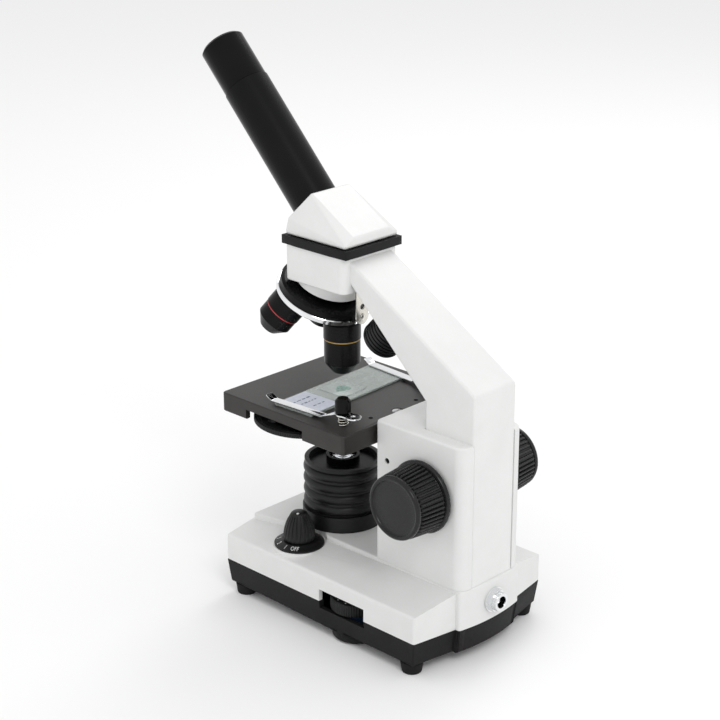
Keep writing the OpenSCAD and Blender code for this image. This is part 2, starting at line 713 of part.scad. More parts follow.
module lamp_housing() {
  rib_zone = lamp_h - drum_h - rim_h;
  rib = rib_zone / rib_count;
  groove_r = lamp_r - 2;
  color([0.09, 0.09, 0.09]) placed() translate([0, 0, plateau_z]) rotate_extrude($fn = 96) difference() {
    union() {
      square([groove_r, lamp_h]);
      square([lamp_r, drum_h]);
      for (i = [0 : rib_count - 1])
        translate([groove_r - 1.6, drum_h + (i + 0.5) * rib]) intersection() {
          circle(rib / 2 - 0.15);
          translate([0, -rib / 2]) square([rib, rib]);
        }
      translate([0, lamp_h - rim_h]) square([lamp_r - 1.2, rim_h]);
    }
    translate([-1, lamp_h - 3]) square([lamp_r - 3.5 + 1, 4]);
    translate([-1, -1]) square([lens_ring_r - 1.5 + 1, lamp_h + 2]);
    translate([-1, -1]) square([lamp_r - 5 + 1, lamp_h - 6 + 1]);
  }
}
module lamp_ring() {
  bottom = plateau_z + lamp_h - 3;
  color([0.12, 0.12, 0.12]) placed() translate([0, 0, bottom])
    tube_solid(lens_ring_r, lens_ring_r - 1.6, lens_ring_top - bottom);
}
module lamp_lens() {
  lens_r = lens_ring_r - 1.6 - snug;
  dome_r = 2 * lens_r;
  color([0.8, 0.9, 0.95, 0.5]) placed() translate([0, 0, lens_ring_top - 2.6]) {
    intersection() {
      cylinder(r = lens_r, h = 4);
      translate([0, 0, 2.4 - dome_r]) sphere(dome_r, $fn = 96);
    }
  }
}
module lamp_led() {
  color("ivory") placed() translate([0, 0, plateau_z + 4]) {
    cylinder(r = lamp_r - 6, h = 1.6);
    cylinder(r = 3.5, h = 3);
    translate([0, 0, 3]) sphere(2.6);
    for (x = [-1, 1]) translate([x * 10, 0, -4]) cylinder(r = 2, h = 4);
  }
}
module upper_lamp_housing() {
  ring = 2.2;
  color([0.09, 0.09, 0.09]) on_upper_lamp() difference() {
    rotate_extrude($fn = 72) difference() {
      union() {
        square([upper_lamp_r - 0.8, upper_lamp_l - 1]);
        for (z = [1 : ring : upper_lamp_l - ring]) translate([0, z]) square([upper_lamp_r, ring - 0.8]);
        translate([0, upper_lamp_l - 2]) square([upper_lamp_r - 0.4, 2]);
      }
      translate([-1, 3]) square([upper_lamp_r - 2 + 1, upper_lamp_l]);
    }
  }
}
module upper_lamp_lens() {
  lens_r = upper_lamp_r - 2 - snug;
  color([0.85, 0.93, 0.95, 0.5]) on_upper_lamp(upper_lamp_l - 3.5) intersection() {
    cylinder(r = lens_r, h = 3.2);
    translate([0, 0, 3.2 - 2 * lens_r]) sphere(2 * lens_r, $fn = 96);
  }
}
module upper_lamp_led() {
  color("ivory") on_upper_lamp(3) {
    cylinder(r = upper_lamp_r - 2.1, h = 1.6);
    cylinder(r = 2.6, h = 4);
    translate([0, 0, 4]) sphere(2.6);
  }
}

module selector_knob() {
  knob_h = 18.6;
  color([0.1, 0.1, 0.1]) placed() translate([selector_x, selector_y, selector_z]) {
    translate([0, 0, 3]) rotate_extrude($fn = 72) polygon([
      [0, 0], [8.6, 0], [8.7, 2], [8.1, 7], [6.9, 11.5], [5.4, 14.2], [4.6, knob_h - 3.3], [4, knob_h - 3],
      [0, knob_h - 3]
    ]);
    translate([0, 0, -9]) cylinder(r = stem_r, h = 13);
  }
}
module selector_dial() {
  color([0.12, 0.12, 0.12]) placed() translate([selector_x, selector_y, selector_z]) difference() {
    rotate_extrude($fn = 96) polygon([
      [0, 0], [dial_r, 0], [dial_r, 0.9], [dial_r - 4, 2.6], [0, 2.6]
    ]);
    translate([0, 0, -1]) cylinder(r = stem_r + 1.6, h = 6);
  }
}
module selector_switch() {
  color("dimgray") placed() translate([selector_x, selector_y, 0]) difference() {
    union() {
      translate([-7, -7, cavity_top - 11]) cube([14, 14, 10.8]);
      translate([0, 0, cavity_top - 1]) cylinder(r = stem_r + 1.5, h = selector_z - cavity_top + 2);
    }
    translate([0, 0, selector_z - 10]) cylinder(r = stem_r + run, h = 20);
  }
}
module brightness_wheel() {
  color([0.1, 0.1, 0.1]) placed() translate([wheel_x, wheel_y, wheel_z]) {
    rotate_extrude($fn = 96) polygon([
      [0, 0], [wheel_r - 0.5, 0], [wheel_r, 0.5], [wheel_r, wheel_t - 0.7], [wheel_r - 0.7, wheel_t], [0,
        wheel_t]
    ]);
    translate([0, 0, -8]) cylinder(r = stem_r, h = 9);
  }
}
module brightness_pot() {
  low = foot_h - boss_h + boss_wall;
  color("steelblue") placed() translate([wheel_x, wheel_y, low]) difference() {
    cylinder(r = boss_r - 3, h = wheel_z - wheel_gap - low);
    translate([0, 0, wheel_z - low - 8.4]) cylinder(r = stem_r + run, h = 20);
  }
}
module circuit_board() {
  board_z = foot_h + wall + 3;
  color("darkgreen") placed() {
    translate([-30, 0, board_z]) cube([44, 56, 1.6]);
    for (x = [-26, 10], y = [4, 52]) translate([x, y, foot_h + wall]) cylinder(r = 2, h = 3);
    translate([-20, 10, board_z + 1.6]) cube([12, 9, 3]);
    translate([-22, 34, board_z + 1.6]) cylinder(r = 4, h = 7);
    translate([0, 26, board_z + 1.6]) cube([8, 14, 4]);
  }
}
module dc_jack() {
  face = tail_back + tail_bow;
  color("silver") placed() translate([0, face, jack_z]) rotate([-90, 0, 0]) difference() {
    union() {
      translate([0, 0, jack_seat - face - 1]) cylinder(r = 4.8, h = face - jack_seat + 1 + jack_out);
      translate([0, 0, jack_seat - face - jack_body]) cylinder(r = 6, h = jack_body);
    }
    difference() {
      translate([0, 0, -7]) cylinder(r = 3.2, h = jack_out + 8);
      translate([0, 0, -8]) cylinder(r = 1, h = jack_out + 6);
    }
  }
}
module jack_nut() {
  color("gainsboro") placed() translate([0, tail_back + tail_bow + 0.05, jack_z]) rotate([-90, 0, 0]) {
    difference() {
      union() {
        cylinder(r = 6.7, h = 1.2);
        cylinder(r = 6.1, h = 3.2, $fn = 6);
      }
      translate([0, 0, -1]) cylinder(r = 4.8 + snug, h = 6);
    }
  }
}

// Turret: a black dome with three seats, a chrome ring round its rim and a bolt on its axis
module turret() {
  color([0.1, 0.1, 0.1]) difference() {
    on_turret() rotate_extrude($fn = 96) polygon([
      [0, -5.6], [9, -5.6], [turret_r - 2.5, 0.2], [turret_r - 1.2, 0.2], [turret_r - 1.2, 6.4],
      [turret_r - 3, 6.9], [neck_r, 7.1], [neck_r, turret_seat_h - 0.2], [0, turret_seat_h - 0.2]
    ]);
    on_turret(-10) cylinder(r = turret_bolt_r + run, h = 30);
    on_turret(-6) cylinder(r = 5.2, h = 3.4);
    for (a = [0, 120, -120]) on_seat(a) {
      translate([0, 0, -12]) cylinder(r = socket_r, h = 14);
      translate([0, 0, -12]) cylinder(r = objective_r + 0.6, h = 9.5);
      cylinder(r = light_r, h = 30);
    }
  }
}
module turret_ring() {
  color("silver") on_turret() rotate_extrude($fn = 96) polygon([
    [turret_r - 1.18, 0], [turret_r - 0.3, 0], [turret_r, 0.4], [turret_r, 2.6], [turret_r - 0.4, 3],
    [turret_r - 1.18, 3]
  ]);
}
module turret_bolt() {
  color("silver") on_turret() difference() {
    union() {
      translate([0, 0, -5.3]) cylinder(r = 4.9, h = 2.6);
      translate([0, 0, -5.3]) cylinder(r = turret_bolt_r, h = turret_seat_h + 9);
    }
    translate([-6, -0.5, -6]) cube([12, 1, 1.8]);
  }
}
module click_spring() {
  color("gainsboro") placed() difference() {
    union() {
      translate([-4.5, spring_y, nose_z + 1]) cube([9, 0.8, block_bottom - nose_z - 1]);
      translate([-4.5, spring_y - 3.2, block_bottom - 0.85]) cube([9, 4, 0.8]);
      translate([0, spring_y, nose_z + 1]) rotate([-90, 0, 0]) cylinder(r = 4.5, h = 0.8);
      translate([0, spring_y + 0.1, nose_z + 1]) sphere(1.6);
    }
    for (z = [6, 12]) translate([0, spring_y - 1, nose_z + z]) rotate([-90, 0, 0]) cylinder(r = 1.5, h = 4);
  }
}

// An objective hangs below the turret plane: thread, collar, colour ring, barrel and tapered nose
module objective(angle, length, nose_r, ring_at) {
  collar = 2.6;
  color([0.09, 0.09, 0.09]) on_seat(angle) difference() {
    union() {
      translate([0, 0, -4]) cylinder(r = socket_r - snug, h = 5.6);
      rotate_extrude($fn = 72) polygon([
        [0, -length], [nose_r, -length], [objective_r, -length + 5.6], [objective_r, -ring_at - 0.8],
        [objective_r - 0.3, -ring_at - 0.7], [objective_r - 0.3, -ring_at], [objective_r + 0.3,
          -ring_at + 0.1],
        [objective_r + 0.3, -collar - 3], [objective_r - 0.7, -collar - 1.6], [objective_r - 0.7, -collar],
        [0, -collar]
      ]);
    }
    translate([0, 0, -length + 3]) cylinder(r = nose_r - 1.2, h = length);
    translate([0, 0, -length - 1]) cylinder(r = 2.4, h = 6);
  }
}
module objective_low() { objective(-120, low_l, 5.2, 12.8); }
module objective_mid() { objective(0, mid_l, 5, 14.2); }
module objective_high() { objective(120, high_l, 4.4, 14.6); }
module front_lens(angle, length) {
  color([0.7, 0.8, 0.95, 0.6]) on_seat(angle) translate([0, 0, -length + 0.4])
    cylinder(r = 2.4 - snug, h = 2.2);
}
module objective_lenses() {
  front_lens(-120, low_l);
  front_lens(0, mid_l);
  front_lens(120, high_l);
}

module gasket_outline() {
  bow_r = 320;
  intersection() {
    intersection_for (s = [-1, 1]) translate([s * (block_w / 2 + 1.4 - bow_r), 0]) circle(bow_r, $fn = 360);
    intersection_for (s = [-1, 1]) translate([0, s * (block_l / 2 + 2.2 - bow_r)]) circle(bow_r, $fn = 360);
    rounded_rect(block_w + 2.4, block_l + 4, 2.5);
  }
}
module head_gasket() {
  color([0.1, 0.1, 0.1]) placed() translate([0, 0, block_top]) difference() {
    linear_extrude(gasket_t - gap) gasket_outline();
    translate([0, 0, -1]) cylinder(r = spigot_r + run, h = gasket_t + 2);
  }
}
module head_shell() {
  foot_w = block_w + 0.6;
  foot_l = block_l + 1.6;
  ridge_y = -8;
  ridge_z = head_z + 22.6;
  color("whitesmoke") difference() {
    union() {
      hull() {
        placed() translate([0, 0, head_z]) linear_extrude(2.6) rounded_rect(foot_w, foot_l, 2.5, $fn = 32);
        placed() translate([-ridge_w / 2, ridge_y, ridge_z - 1]) cube([ridge_w, 0.6, 1]);
        placed() translate([-ridge_w / 2, foot_l / 2 - 2, head_z + 5]) cube([ridge_w, 1, 1]);
        placed() translate([-foot_w / 2 + 0.4, -foot_l / 2 + 3, head_z + 9]) cube([foot_w - 0.8, 1, 1]);
        on_tube(collar_end - collar_l) cylinder(r = collar_r, h = collar_l, $fn = 64);
      }
      placed() translate([0, 0, head_z - gasket_t + 0.4]) cylinder(r = spigot_r, h = gasket_t);
    }
    on_tube(tube_start - 3.5) cylinder(r = tube_r - 2 + snug, h = 40);
    on_tube(tube_start) cylinder(r = tube_r + snug, h = 40);
    placed() translate([0, 0, head_z - gasket_t]) cylinder(r = 9, h = gasket_t + 3);
    placed() translate([-9, -12, head_z + 2]) cube([18, 19, 9]);
  }
}
module prism() {
  color([0.8, 0.9, 0.95, 0.6]) placed() translate([-8.9, 0, head_z + 2]) rotate([90, 0, 90])
    linear_extrude(17.8)
    polygon([[-7, 0], [6.8, 0], [6.8, 3], [0.5, 8.8], [-3, 8.8]]);
}
module eyepiece_tube() {
  color([0.08, 0.08, 0.08]) on_tube() difference() {
    union() {
      translate([0, 0, tube_start]) cylinder(r = tube_r, h = tube_end - tube_start, $fn = 96);
      translate([0, 0, tube_start - 3.5]) cylinder(r = tube_r - 2, h = 4);
    }
    translate([0, 0, tube_end - 24]) cylinder(r = tube_bore_r, h = 30);
    translate([0, 0, 0]) cylinder(r = 9, h = tube_end);
  }
}
module eyepiece() {
  cup_r = eyepiece_r - 2.5;
  color([0.05, 0.05, 0.05]) on_tube(tube_end) difference() {
    union() {
      rotate_extrude($fn = 96) polygon([
        [0, 0.3], [eyepiece_r, 0.3], [eyepiece_r, eyepiece_l - 1.2], [eyepiece_r - 1.2, eyepiece_l],
        [cup_r, eyepiece_l], [eye_lens_r + 0.6, eyepiece_l - 2.4], [0, eyepiece_l - 2.4]
      ]);
      translate([0, 0, -barrel_l]) cylinder(r = barrel_r, h = barrel_l + 1);
    }
    translate([0, 0, -barrel_l - 1]) cylinder(r = barrel_r - 1.2, h = barrel_l + eyepiece_l - 8);
    translate([0, 0, eyepiece_l - 10]) cylinder(r = eye_lens_r - 0.8, h = 12);
    translate([0, 0, eyepiece_l - 6]) cylinder(r = eye_lens_r + snug, h = 8);
  }
}
module eyepiece_lenses() {
  color([0.75, 0.85, 0.95, 0.6]) on_tube(tube_end) {
    intersection() {
      translate([0, 0, eyepiece_l - 6]) cylinder(r = eye_lens_r, h = 3.2);
      translate([0, 0, eyepiece_l - 2.8 - 2 * eye_lens_r]) sphere(2 * eye_lens_r, $fn = 96);
    }
    translate([0, 0, -barrel_l + 1]) cylinder(r = barrel_r - 1.2 - snug, h = 3);
  }
}

base_shell();
bottom_tray();
foot_front_right();
foot_front_left();
foot_back_right();
foot_back_left();
tray_screws();
arm_bolts();
arm();
gearbox_cover();
cover_screws();
shaft_bushes();
focus_shaft();
pinion();
focus_knob_right();
focus_knob_left();
rack();
stage_carriage();
guide_rails();
stage_plate();
stage_screws();
diaphragm_disc();
diaphragm_pivot();
clip_right();
clip_left();
clip_knob_right();
clip_knob_left();
clip_spring_right();
clip_spring_left();
glass_slide();
cover_slip();
lamp_housing();
lamp_ring();
lamp_lens();
lamp_led();
upper_lamp_housing();
upper_lamp_lens();
upper_lamp_led();
selector_knob();
selector_dial();
selector_switch();
brightness_wheel();
brightness_pot();
circuit_board();
dc_jack();
jack_nut();
turret();
turret_ring();
turret_bolt();
click_spring();
objective_low();
objective_mid();
objective_high();
objective_lenses();
head_gasket();
head_shell();
prism();
eyepiece_tube();
eyepiece();
eyepiece_lenses();
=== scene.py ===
"""Looks of a student microscope: materials, finer pieces, camera and soft studio light."""
import json
import math
import random

import bmesh
import bpy
from mathutils import Matrix, Vector

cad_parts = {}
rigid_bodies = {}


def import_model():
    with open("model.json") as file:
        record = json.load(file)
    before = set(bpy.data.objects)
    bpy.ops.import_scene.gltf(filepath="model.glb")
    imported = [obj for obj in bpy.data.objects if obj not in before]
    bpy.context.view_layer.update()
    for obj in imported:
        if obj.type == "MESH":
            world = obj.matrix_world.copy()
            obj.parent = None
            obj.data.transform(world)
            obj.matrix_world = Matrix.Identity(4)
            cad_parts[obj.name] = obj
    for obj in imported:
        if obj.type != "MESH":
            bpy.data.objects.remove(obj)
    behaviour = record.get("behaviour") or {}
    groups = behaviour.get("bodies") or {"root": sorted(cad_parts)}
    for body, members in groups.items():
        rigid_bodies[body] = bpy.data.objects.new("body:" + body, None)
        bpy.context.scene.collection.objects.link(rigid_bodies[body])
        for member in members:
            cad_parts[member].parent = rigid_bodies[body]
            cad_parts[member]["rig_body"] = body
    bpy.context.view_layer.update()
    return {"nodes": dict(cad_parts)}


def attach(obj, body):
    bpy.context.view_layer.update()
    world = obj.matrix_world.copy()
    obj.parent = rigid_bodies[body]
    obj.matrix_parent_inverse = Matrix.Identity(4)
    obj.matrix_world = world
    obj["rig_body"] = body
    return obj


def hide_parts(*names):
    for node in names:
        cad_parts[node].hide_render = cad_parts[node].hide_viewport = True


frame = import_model()
nodes = frame["nodes"]
MM = 0.001
AXIS_Y = -7.5958  # the optical axis in the part's frame, mm


def at(x, y, z):
    """A point given in mm from the optical axis and the table, in metres in the part's frame."""
    return Vector((x, y + AXIS_Y, z)) * MM


# ---------------------------------------------------------------- materials
def new_material(name):
    mat = bpy.data.materials.new(name)
    mat.use_nodes = True
    tree = mat.node_tree
    return mat, tree, tree.nodes["Principled BSDF"]


def noise(tree, scale, detail=3.0, rough=0.55, stretch=None):
    """Noise in object space, drawn out along the axes by stretch."""
    coords = tree.nodes.new("ShaderNodeTexCoord")
    tex = tree.nodes.new("ShaderNodeTexNoise")
    tex.inputs["Scale"].default_value = scale
    tex.inputs["Detail"].default_value = detail
    tex.inputs["Roughness"].default_value = rough
    if stretch:
        mapping = tree.nodes.new("ShaderNodeMapping")
        mapping.inputs["Scale"].default_value = stretch
        tree.links.new(coords.outputs["Object"], mapping.inputs["Vector"])
        tree.links.new(mapping.outputs["Vector"], tex.inputs["Vector"])
    else:
        tree.links.new(coords.outputs["Object"], tex.inputs["Vector"])
    return tex.outputs["Fac"]


def ramp(tree, fac, stops):
    """Colours between stops of (position, colour)."""
    node = tree.nodes.new("ShaderNodeValToRGB")
    while len(node.color_ramp.elements) < len(stops):
        node.color_ramp.elements.new(0.5)
    for element, (pos, colour) in zip(node.color_ramp.elements, stops):
        element.position = pos
        element.color = (*colour, 1.0)
    tree.links.new(fac, node.inputs["Fac"])
    return node.outputs["Color"]


def spread(tree, fac, low, high):
    """Maps the middle of a noise to the range from low to high."""
    node = tree.nodes.new("ShaderNodeMapRange")
    node.inputs["From Min"].default_value = 0.3
    node.inputs["From Max"].default_value = 0.7
    node.inputs["To Min"].default_value = low
    node.inputs["To Max"].default_value = high
    tree.links.new(fac, node.inputs["Value"])
    return node.outputs["Result"]


def bump(tree, heights):
    """Chains bump nodes: each height is (fac, strength, depth in mm)."""
    normal = None
    for fac, strength, depth in heights:
        node = tree.nodes.new("ShaderNodeBump")
        node.inputs["Strength"].default_value = strength
        node.inputs["Distance"].default_value = depth * MM
        tree.links.new(fac, node.inputs["Height"])
        if normal:
            tree.links.new(normal, node.inputs["Normal"])
        normal = node.outputs["Normal"]
    return normal


def surface(name, dark, light, rough, metallic=0.0, patch=60.0, grain=1500.0, depth=0.02, strength=0.25,
            coat=0.0, stretch=None, specular=0.5):
    """Painted, moulded or metal surface: two close shades in patches, uneven gloss and a fine grain."""
    mat, tree, bsdf = new_material(name)
    cloud = noise(tree, patch)
    fine = noise(tree, grain, 2.0, 0.5, stretch)
    tree.links.new(ramp(tree, cloud, [(0.3, dark), (0.7, light)]), bsdf.inputs["Base Color"])
    tree.links.new(spread(tree, fine, rough[0], rough[1]), bsdf.inputs["Roughness"])
    tree.links.new(bump(tree, [(cloud, 0.1, 0.05), (fine, strength, depth)]), bsdf.inputs["Normal"])
    bsdf.inputs["Metallic"].default_value = metallic
    bsdf.inputs["Specular IOR Level"].default_value = specular
    if coat:
        bsdf.inputs["Coat Weight"].default_value = coat
        bsdf.inputs["Coat Roughness"].default_value = 0.12
    return mat


WHITE = surface("white_coat", (0.735, 0.74, 0.73), (0.765, 0.77, 0.76), (0.34, 0.44), grain=900,
                depth=0.03, strength=0.12, coat=0.1)
MOULD = surface("white_mould", (0.725, 0.73, 0.72), (0.755, 0.76, 0.75), (0.40, 0.5), grain=1300,
                depth=0.025, strength=0.16)
TRAY = surface("tray_black", (0.009, 0.009, 0.0095), (0.013, 0.013, 0.0135), (0.46, 0.6), grain=1700,
               depth=0.04, strength=0.35, specular=0.16)
KNOB = surface("knob_black", (0.006, 0.0062, 0.0065), (0.009, 0.0092, 0.0095), (0.34, 0.46), grain=2200,
               depth=0.03, strength=0.3, specular=0.3)
STAGE = surface("stage_black", (0.019, 0.017, 0.0155), (0.027, 0.0245, 0.0225), (0.36, 0.46), grain=1900,
                depth=0.03, strength=0.3, specular=0.4)
SATIN = surface("satin_black", (0.003, 0.003, 0.0034), (0.0045, 0.0045, 0.005), (0.24, 0.32), grain=2600,
                depth=0.012, strength=0.25, specular=0.14)
GLOSS = surface("gloss_black", (0.002, 0.002, 0.0024), (0.0035, 0.0035, 0.004), (0.12, 0.2), grain=2600,
                depth=0.006, strength=0.15, specular=0.14)
GRIP = surface("grip_black", (0.006, 0.0062, 0.0065), (0.009, 0.0092, 0.0095), (0.22, 0.32), grain=2200,
               depth=0.02, strength=0.25, specular=0.34)
RUBBER = surface("rubber", (0.007, 0.007, 0.007), (0.012, 0.012, 0.012), (0.68, 0.85), grain=2600,
                 depth=0.05, strength=0.5, specular=0.2)
CHROME = surface("chrome", (0.78, 0.79, 0.80), (0.86, 0.87, 0.88), (0.07, 0.14), metallic=1.0, grain=1500,
                 depth=0.004, strength=0.1)
NICKEL = surface("nickel", (0.66, 0.64, 0.58), (0.76, 0.74, 0.68), (0.16, 0.28), metallic=1.0, grain=1300,
                 depth=0.012, strength=0.2)
STEEL = surface("steel", (0.48, 0.48, 0.47), (0.6, 0.6, 0.59), (0.24, 0.36), metallic=1.0, grain=900,
                depth=0.01, strength=0.25, stretch=(1, 1, 8))
OXIDE = surface("black_oxide", (0.03, 0.03, 0.032), (0.055, 0.055, 0.056), (0.3, 0.44), metallic=1.0,
                grain=900, depth=0.01, strength=0.25)
BRASS = surface("brass", (0.62, 0.44, 0.17), (0.75, 0.57, 0.26), (0.26, 0.38), metallic=1.0, grain=1200,
                depth=0.01, strength=0.2)
BOARD = surface("board_green", (0.012, 0.07, 0.03), (0.02, 0.12, 0.05), (0.3, 0.42), patch=260, grain=1400)
LED = surface("led_white", (0.3, 0.29, 0.25), (0.38, 0.37, 0.31), (0.4, 0.55), patch=200, grain=1800)
BLUE = surface("pot_blue", (0.02, 0.05, 0.13), (0.035, 0.08, 0.18), (0.4, 0.5), patch=200, grain=1800)
INK = surface("ink_white", (0.66, 0.67, 0.66), (0.78, 0.79, 0.78), (0.5, 0.65), patch=900, grain=3000,
              strength=0.2)
RED = surface("ring_red", (0.36, 0.025, 0.03), (0.46, 0.04, 0.045), (0.32, 0.42), patch=500, grain=2500)
YELLOW = surface("ring_yellow", (0.42, 0.26, 0.06), (0.52, 0.33, 0.09), (0.32, 0.42), patch=500,
                 grain=2500)
CYAN = surface("ring_blue", (0.04, 0.14, 0.42), (0.06, 0.2, 0.5), (0.32, 0.42), patch=500, grain=2500)


def glass(name, tint, rough, ior=1.5, clear=1.0):
    """Clear or part-clear glass with faint smears."""
    mat, tree, bsdf = new_material(name)
    smear = noise(tree, 140, 4.0, 0.6)
    tree.links.new(ramp(tree, smear, [(0.3, tint), (0.7, tuple(min(1, c * 1.04) for c in tint))]),
                   bsdf.inputs["Base Color"])
    tree.links.new(spread(tree, smear, rough * 0.5, rough * 1.6), bsdf.inputs["Roughness"])
    bsdf.inputs["Transmission Weight"].default_value = clear
    bsdf.inputs["IOR"].default_value = ior
    return mat


SLIDE = glass("slide_glass", (0.80, 0.88, 0.84), 0.03, 1.52, 0.68)
SLIP = glass("slip_glass", (0.88, 0.94, 0.92), 0.02, 1.5, 0.86)
LENS = glass("lens_glass", (0.9, 0.93, 0.97), 0.01)
COATED = glass("coated_glass", (0.62, 0.55, 0.85), 0.01, 1.7)

LOOKS = {
    "base_shell": MOULD, "bottom_tray": TRAY, "tray_screws": STEEL, "arm_bolts": STEEL, "arm": WHITE,
    "gearbox_cover": MOULD, "cover_screws": OXIDE, "shaft_bushes": BRASS, "focus_shaft": STEEL,
    "pinion": BRASS,
    "focus_knob_right": KNOB, "focus_knob_left": KNOB, "rack": BRASS, "stage_carriage": SATIN,
    "guide_rails": STEEL, "stage_plate": STAGE, "stage_screws": STEEL, "diaphragm_disc": KNOB,
    "diaphragm_pivot": STEEL, "clip_right": CHROME, "clip_left": CHROME, "clip_knob_right": GLOSS,
    "clip_knob_left": GLOSS, "clip_spring_right": NICKEL, "clip_spring_left": NICKEL, "glass_slide": SLIDE,
    "cover_slip": SLIDE, "lamp_housing": KNOB, "lamp_ring": SATIN, "lamp_lens": LENS, "lamp_led": LED,
    "upper_lamp_housing": KNOB, "upper_lamp_lens": LENS, "upper_lamp_led": LED, "selector_knob": KNOB,
    "selector_dial": KNOB, "selector_switch": KNOB, "brightness_wheel": KNOB, "brightness_pot": BLUE,
    "circuit_board": BOARD, "dc_jack": CHROME, "jack_nut": CHROME, "turret": SATIN, "turret_ring": CHROME,
    "turret_bolt": STEEL, "click_spring": NICKEL, "objective_low": SATIN, "objective_mid": SATIN,
    "objective_high": SATIN, "objective_lenses": COATED, "head_gasket": TRAY, "head_shell": WHITE,
    "prism": LENS, "eyepiece_tube": SATIN, "eyepiece": GLOSS, "eyepiece_lenses": COATED,
}
for side in ("front_right", "front_left", "back_right", "back_left"):
    LOOKS["foot_" + side] = RUBBER
for node, look in LOOKS.items():
    obj = nodes[node]
    obj.data.materials.clear()
    obj.data.materials.append(look)


# ---------------------------------------------------------------- mesh helpers
def add_object(name, mesh, look, body, node=None, smooth=35.0):
    """Adds a piece that rides a body, and takes the place of node if one is given."""
    obj = bpy.data.objects.new(name, mesh)
    bpy.context.scene.collection.objects.link(obj)
    mesh.materials.clear()
    mesh.materials.append(look)
    if smooth:
        mesh.shade_smooth()
        mesh.set_sharp_from_angle(angle=math.radians(smooth))
    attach(obj, body)
    if node:
        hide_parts(*([node] if isinstance(node, str) else node))
    return obj


def body_with(node):
    return nodes[node]["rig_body"]


def sharp_chains(bm, angle):
    """Sharp edges grouped into runs that pass from one to the next without a branch."""
    sharp = [e for e in bm.edges if len(e.link_faces) == 2 and e.calc_face_angle(0.0) > angle]
    marked = set(sharp)
    seen, chains = set(), []
    for start in sharp:
        if start in seen:
            continue
        chain, todo = [], [start]
        seen.add(start)
        while todo:
            edge = todo.pop()
            chain.append(edge)
            for vert in edge.verts:
                around = [e for e in vert.link_edges if e in marked]
                if len(around) == 2:
                    for other in around:
                        if other not in seen:
                            seen.add(other)
                            todo.append(other)
        chains.append(chain)
    return chains


def bevelled(node, width, look, segments=3, angle=24.0, shortest=11.0):
    """A copy of a CAD node with its flat faces joined up and its long sharp edges rounded."""
    mesh = nodes[node].data.copy()
    mesh.name = node + "_soft"
    bm = bmesh.new()
    bm.from_mesh(mesh)
    bmesh.ops.remove_doubles(bm, verts=bm.verts, dist=0.004 * MM)
    bmesh.ops.dissolve_limit(bm, angle_limit=math.radians(0.5), verts=bm.verts, edges=bm.edges)
    weight = bm.edges.layers.float.new("bevel_weight_edge")
    for chain in sharp_chains(bm, math.radians(angle)):
        if sum(e.calc_length() for e in chain) > shortest * MM:
            for edge in chain:
                edge[weight] = 1.0
    bm.to_mesh(mesh)
    bm.free()
    obj = add_object(node + "_soft", mesh, look, body_with(node), node)
    mod = obj.modifiers.new("bevel", "BEVEL")
    mod.width = width * MM
    mod.segments = segments
    mod.limit_method = "WEIGHT"
    mod.use_clamp_overlap = False
    mod.harden_normals = True
    return obj


def revolve(name, rings, look, body, matrix, count=96, ridge=None, node=None, loop=False, smooth=35.0):
    """A piece of revolution. rings is [(r, z)] in mm; ridge(i, turn) adds to ring i's radius, and turn
    goes from 0 to 1."""
    bm = bmesh.new()
    rows = []
    for i, (r, z) in enumerate(rings):
        steps = 1 if r < 1e-6 else count
        row = []
        for j in range(steps):
            turn = j / count
            rr = r + (ridge(i, turn) if ridge and r > 1e-6 else 0.0)
            t = 2 * math.pi * turn
            row.append(bm.verts.new(matrix @ (Vector((rr * math.cos(t), rr * math.sin(t), z)) * MM)))
        rows.append(row)
    pairs = list(zip(rows, rows[1:])) + ([(rows[-1], rows[0])] if loop else [])
    for a, b in pairs:
        for j in range(count):
            k = (j + 1) % count
            corners = []
            for v in (a[j % len(a)], a[k % len(a)], b[k % len(b)], b[j % len(b)]):
                if v not in corners:
                    corners.append(v)
            if len(corners) > 2:
                bm.faces.new(corners)
    bmesh.ops.recalc_face_normals(bm, faces=bm.faces)
    mesh = bpy.data.meshes.new(name)
    bm.to_mesh(mesh)
    bm.free()
    return add_object(name, mesh, look, body, node, smooth)


def rib(turn, count, share):
    """Height from 0 to 1 of rounded ribs round a circle."""
    phase = (turn * count) % 1.0
    return math.sin(math.pi * phase / share) ** 0.4 if 0 < phase < share else 0.0


def helix(name, radius, wire, height, turns, look, body, matrix, node=None, steps=24, sides=10):
    """Round wire wound on a helix, with closed ends."""
    bm = bmesh.new()
    rows = []
    total = int(turns * steps)
    for i in range(total + 1):
        t = 2 * math.pi * i / steps
        rise = height * i / total
        row = []
        for j in range(sides):
            s = 2 * math.pi * j / sides
            r = radius + wire * math.cos(s)
            point = Vector((r * math.cos(t), r * math.sin(t), rise + wire * math.sin(s)))
            row.append(bm.verts.new(matrix @ (point * MM)))
        rows.append(row)
    for a, b in zip(rows, rows[1:]):
        for j in range(sides):
            k = (j + 1) % sides
            bm.faces.new((a[j], a[k], b[k], b[j]))
    bm.faces.new(rows[0])
    bm.faces.new(rows[-1])
    bmesh.ops.recalc_face_normals(bm, faces=bm.faces)
    mesh = bpy.data.meshes.new(name)
    bm.to_mesh(mesh)
    bm.free()
    return add_object(name, mesh, look, body, node, 60.0)


def slab(name, size, look, body, matrix, edge, node=None):
    """A flat rectangular piece with softened edges; size in mm, its underside's centre at the matrix."""
    bm = bmesh.new()
    bmesh.ops.create_cube(bm, size=1.0)
    for v in bm.verts:
        v.co = Vector((v.co.x * size[0], v.co.y * size[1], (v.co.z + 0.5) * size[2]))
    bmesh.ops.bevel(bm, geom=list(bm.edges), offset=edge, segments=2, affect="EDGES")
    for v in bm.verts:
        v.co = matrix @ (v.co * MM)
    mesh = bpy.data.meshes.new(name)
    bm.to_mesh(mesh)
    bm.free()
    return add_object(name, mesh, look, body, node)


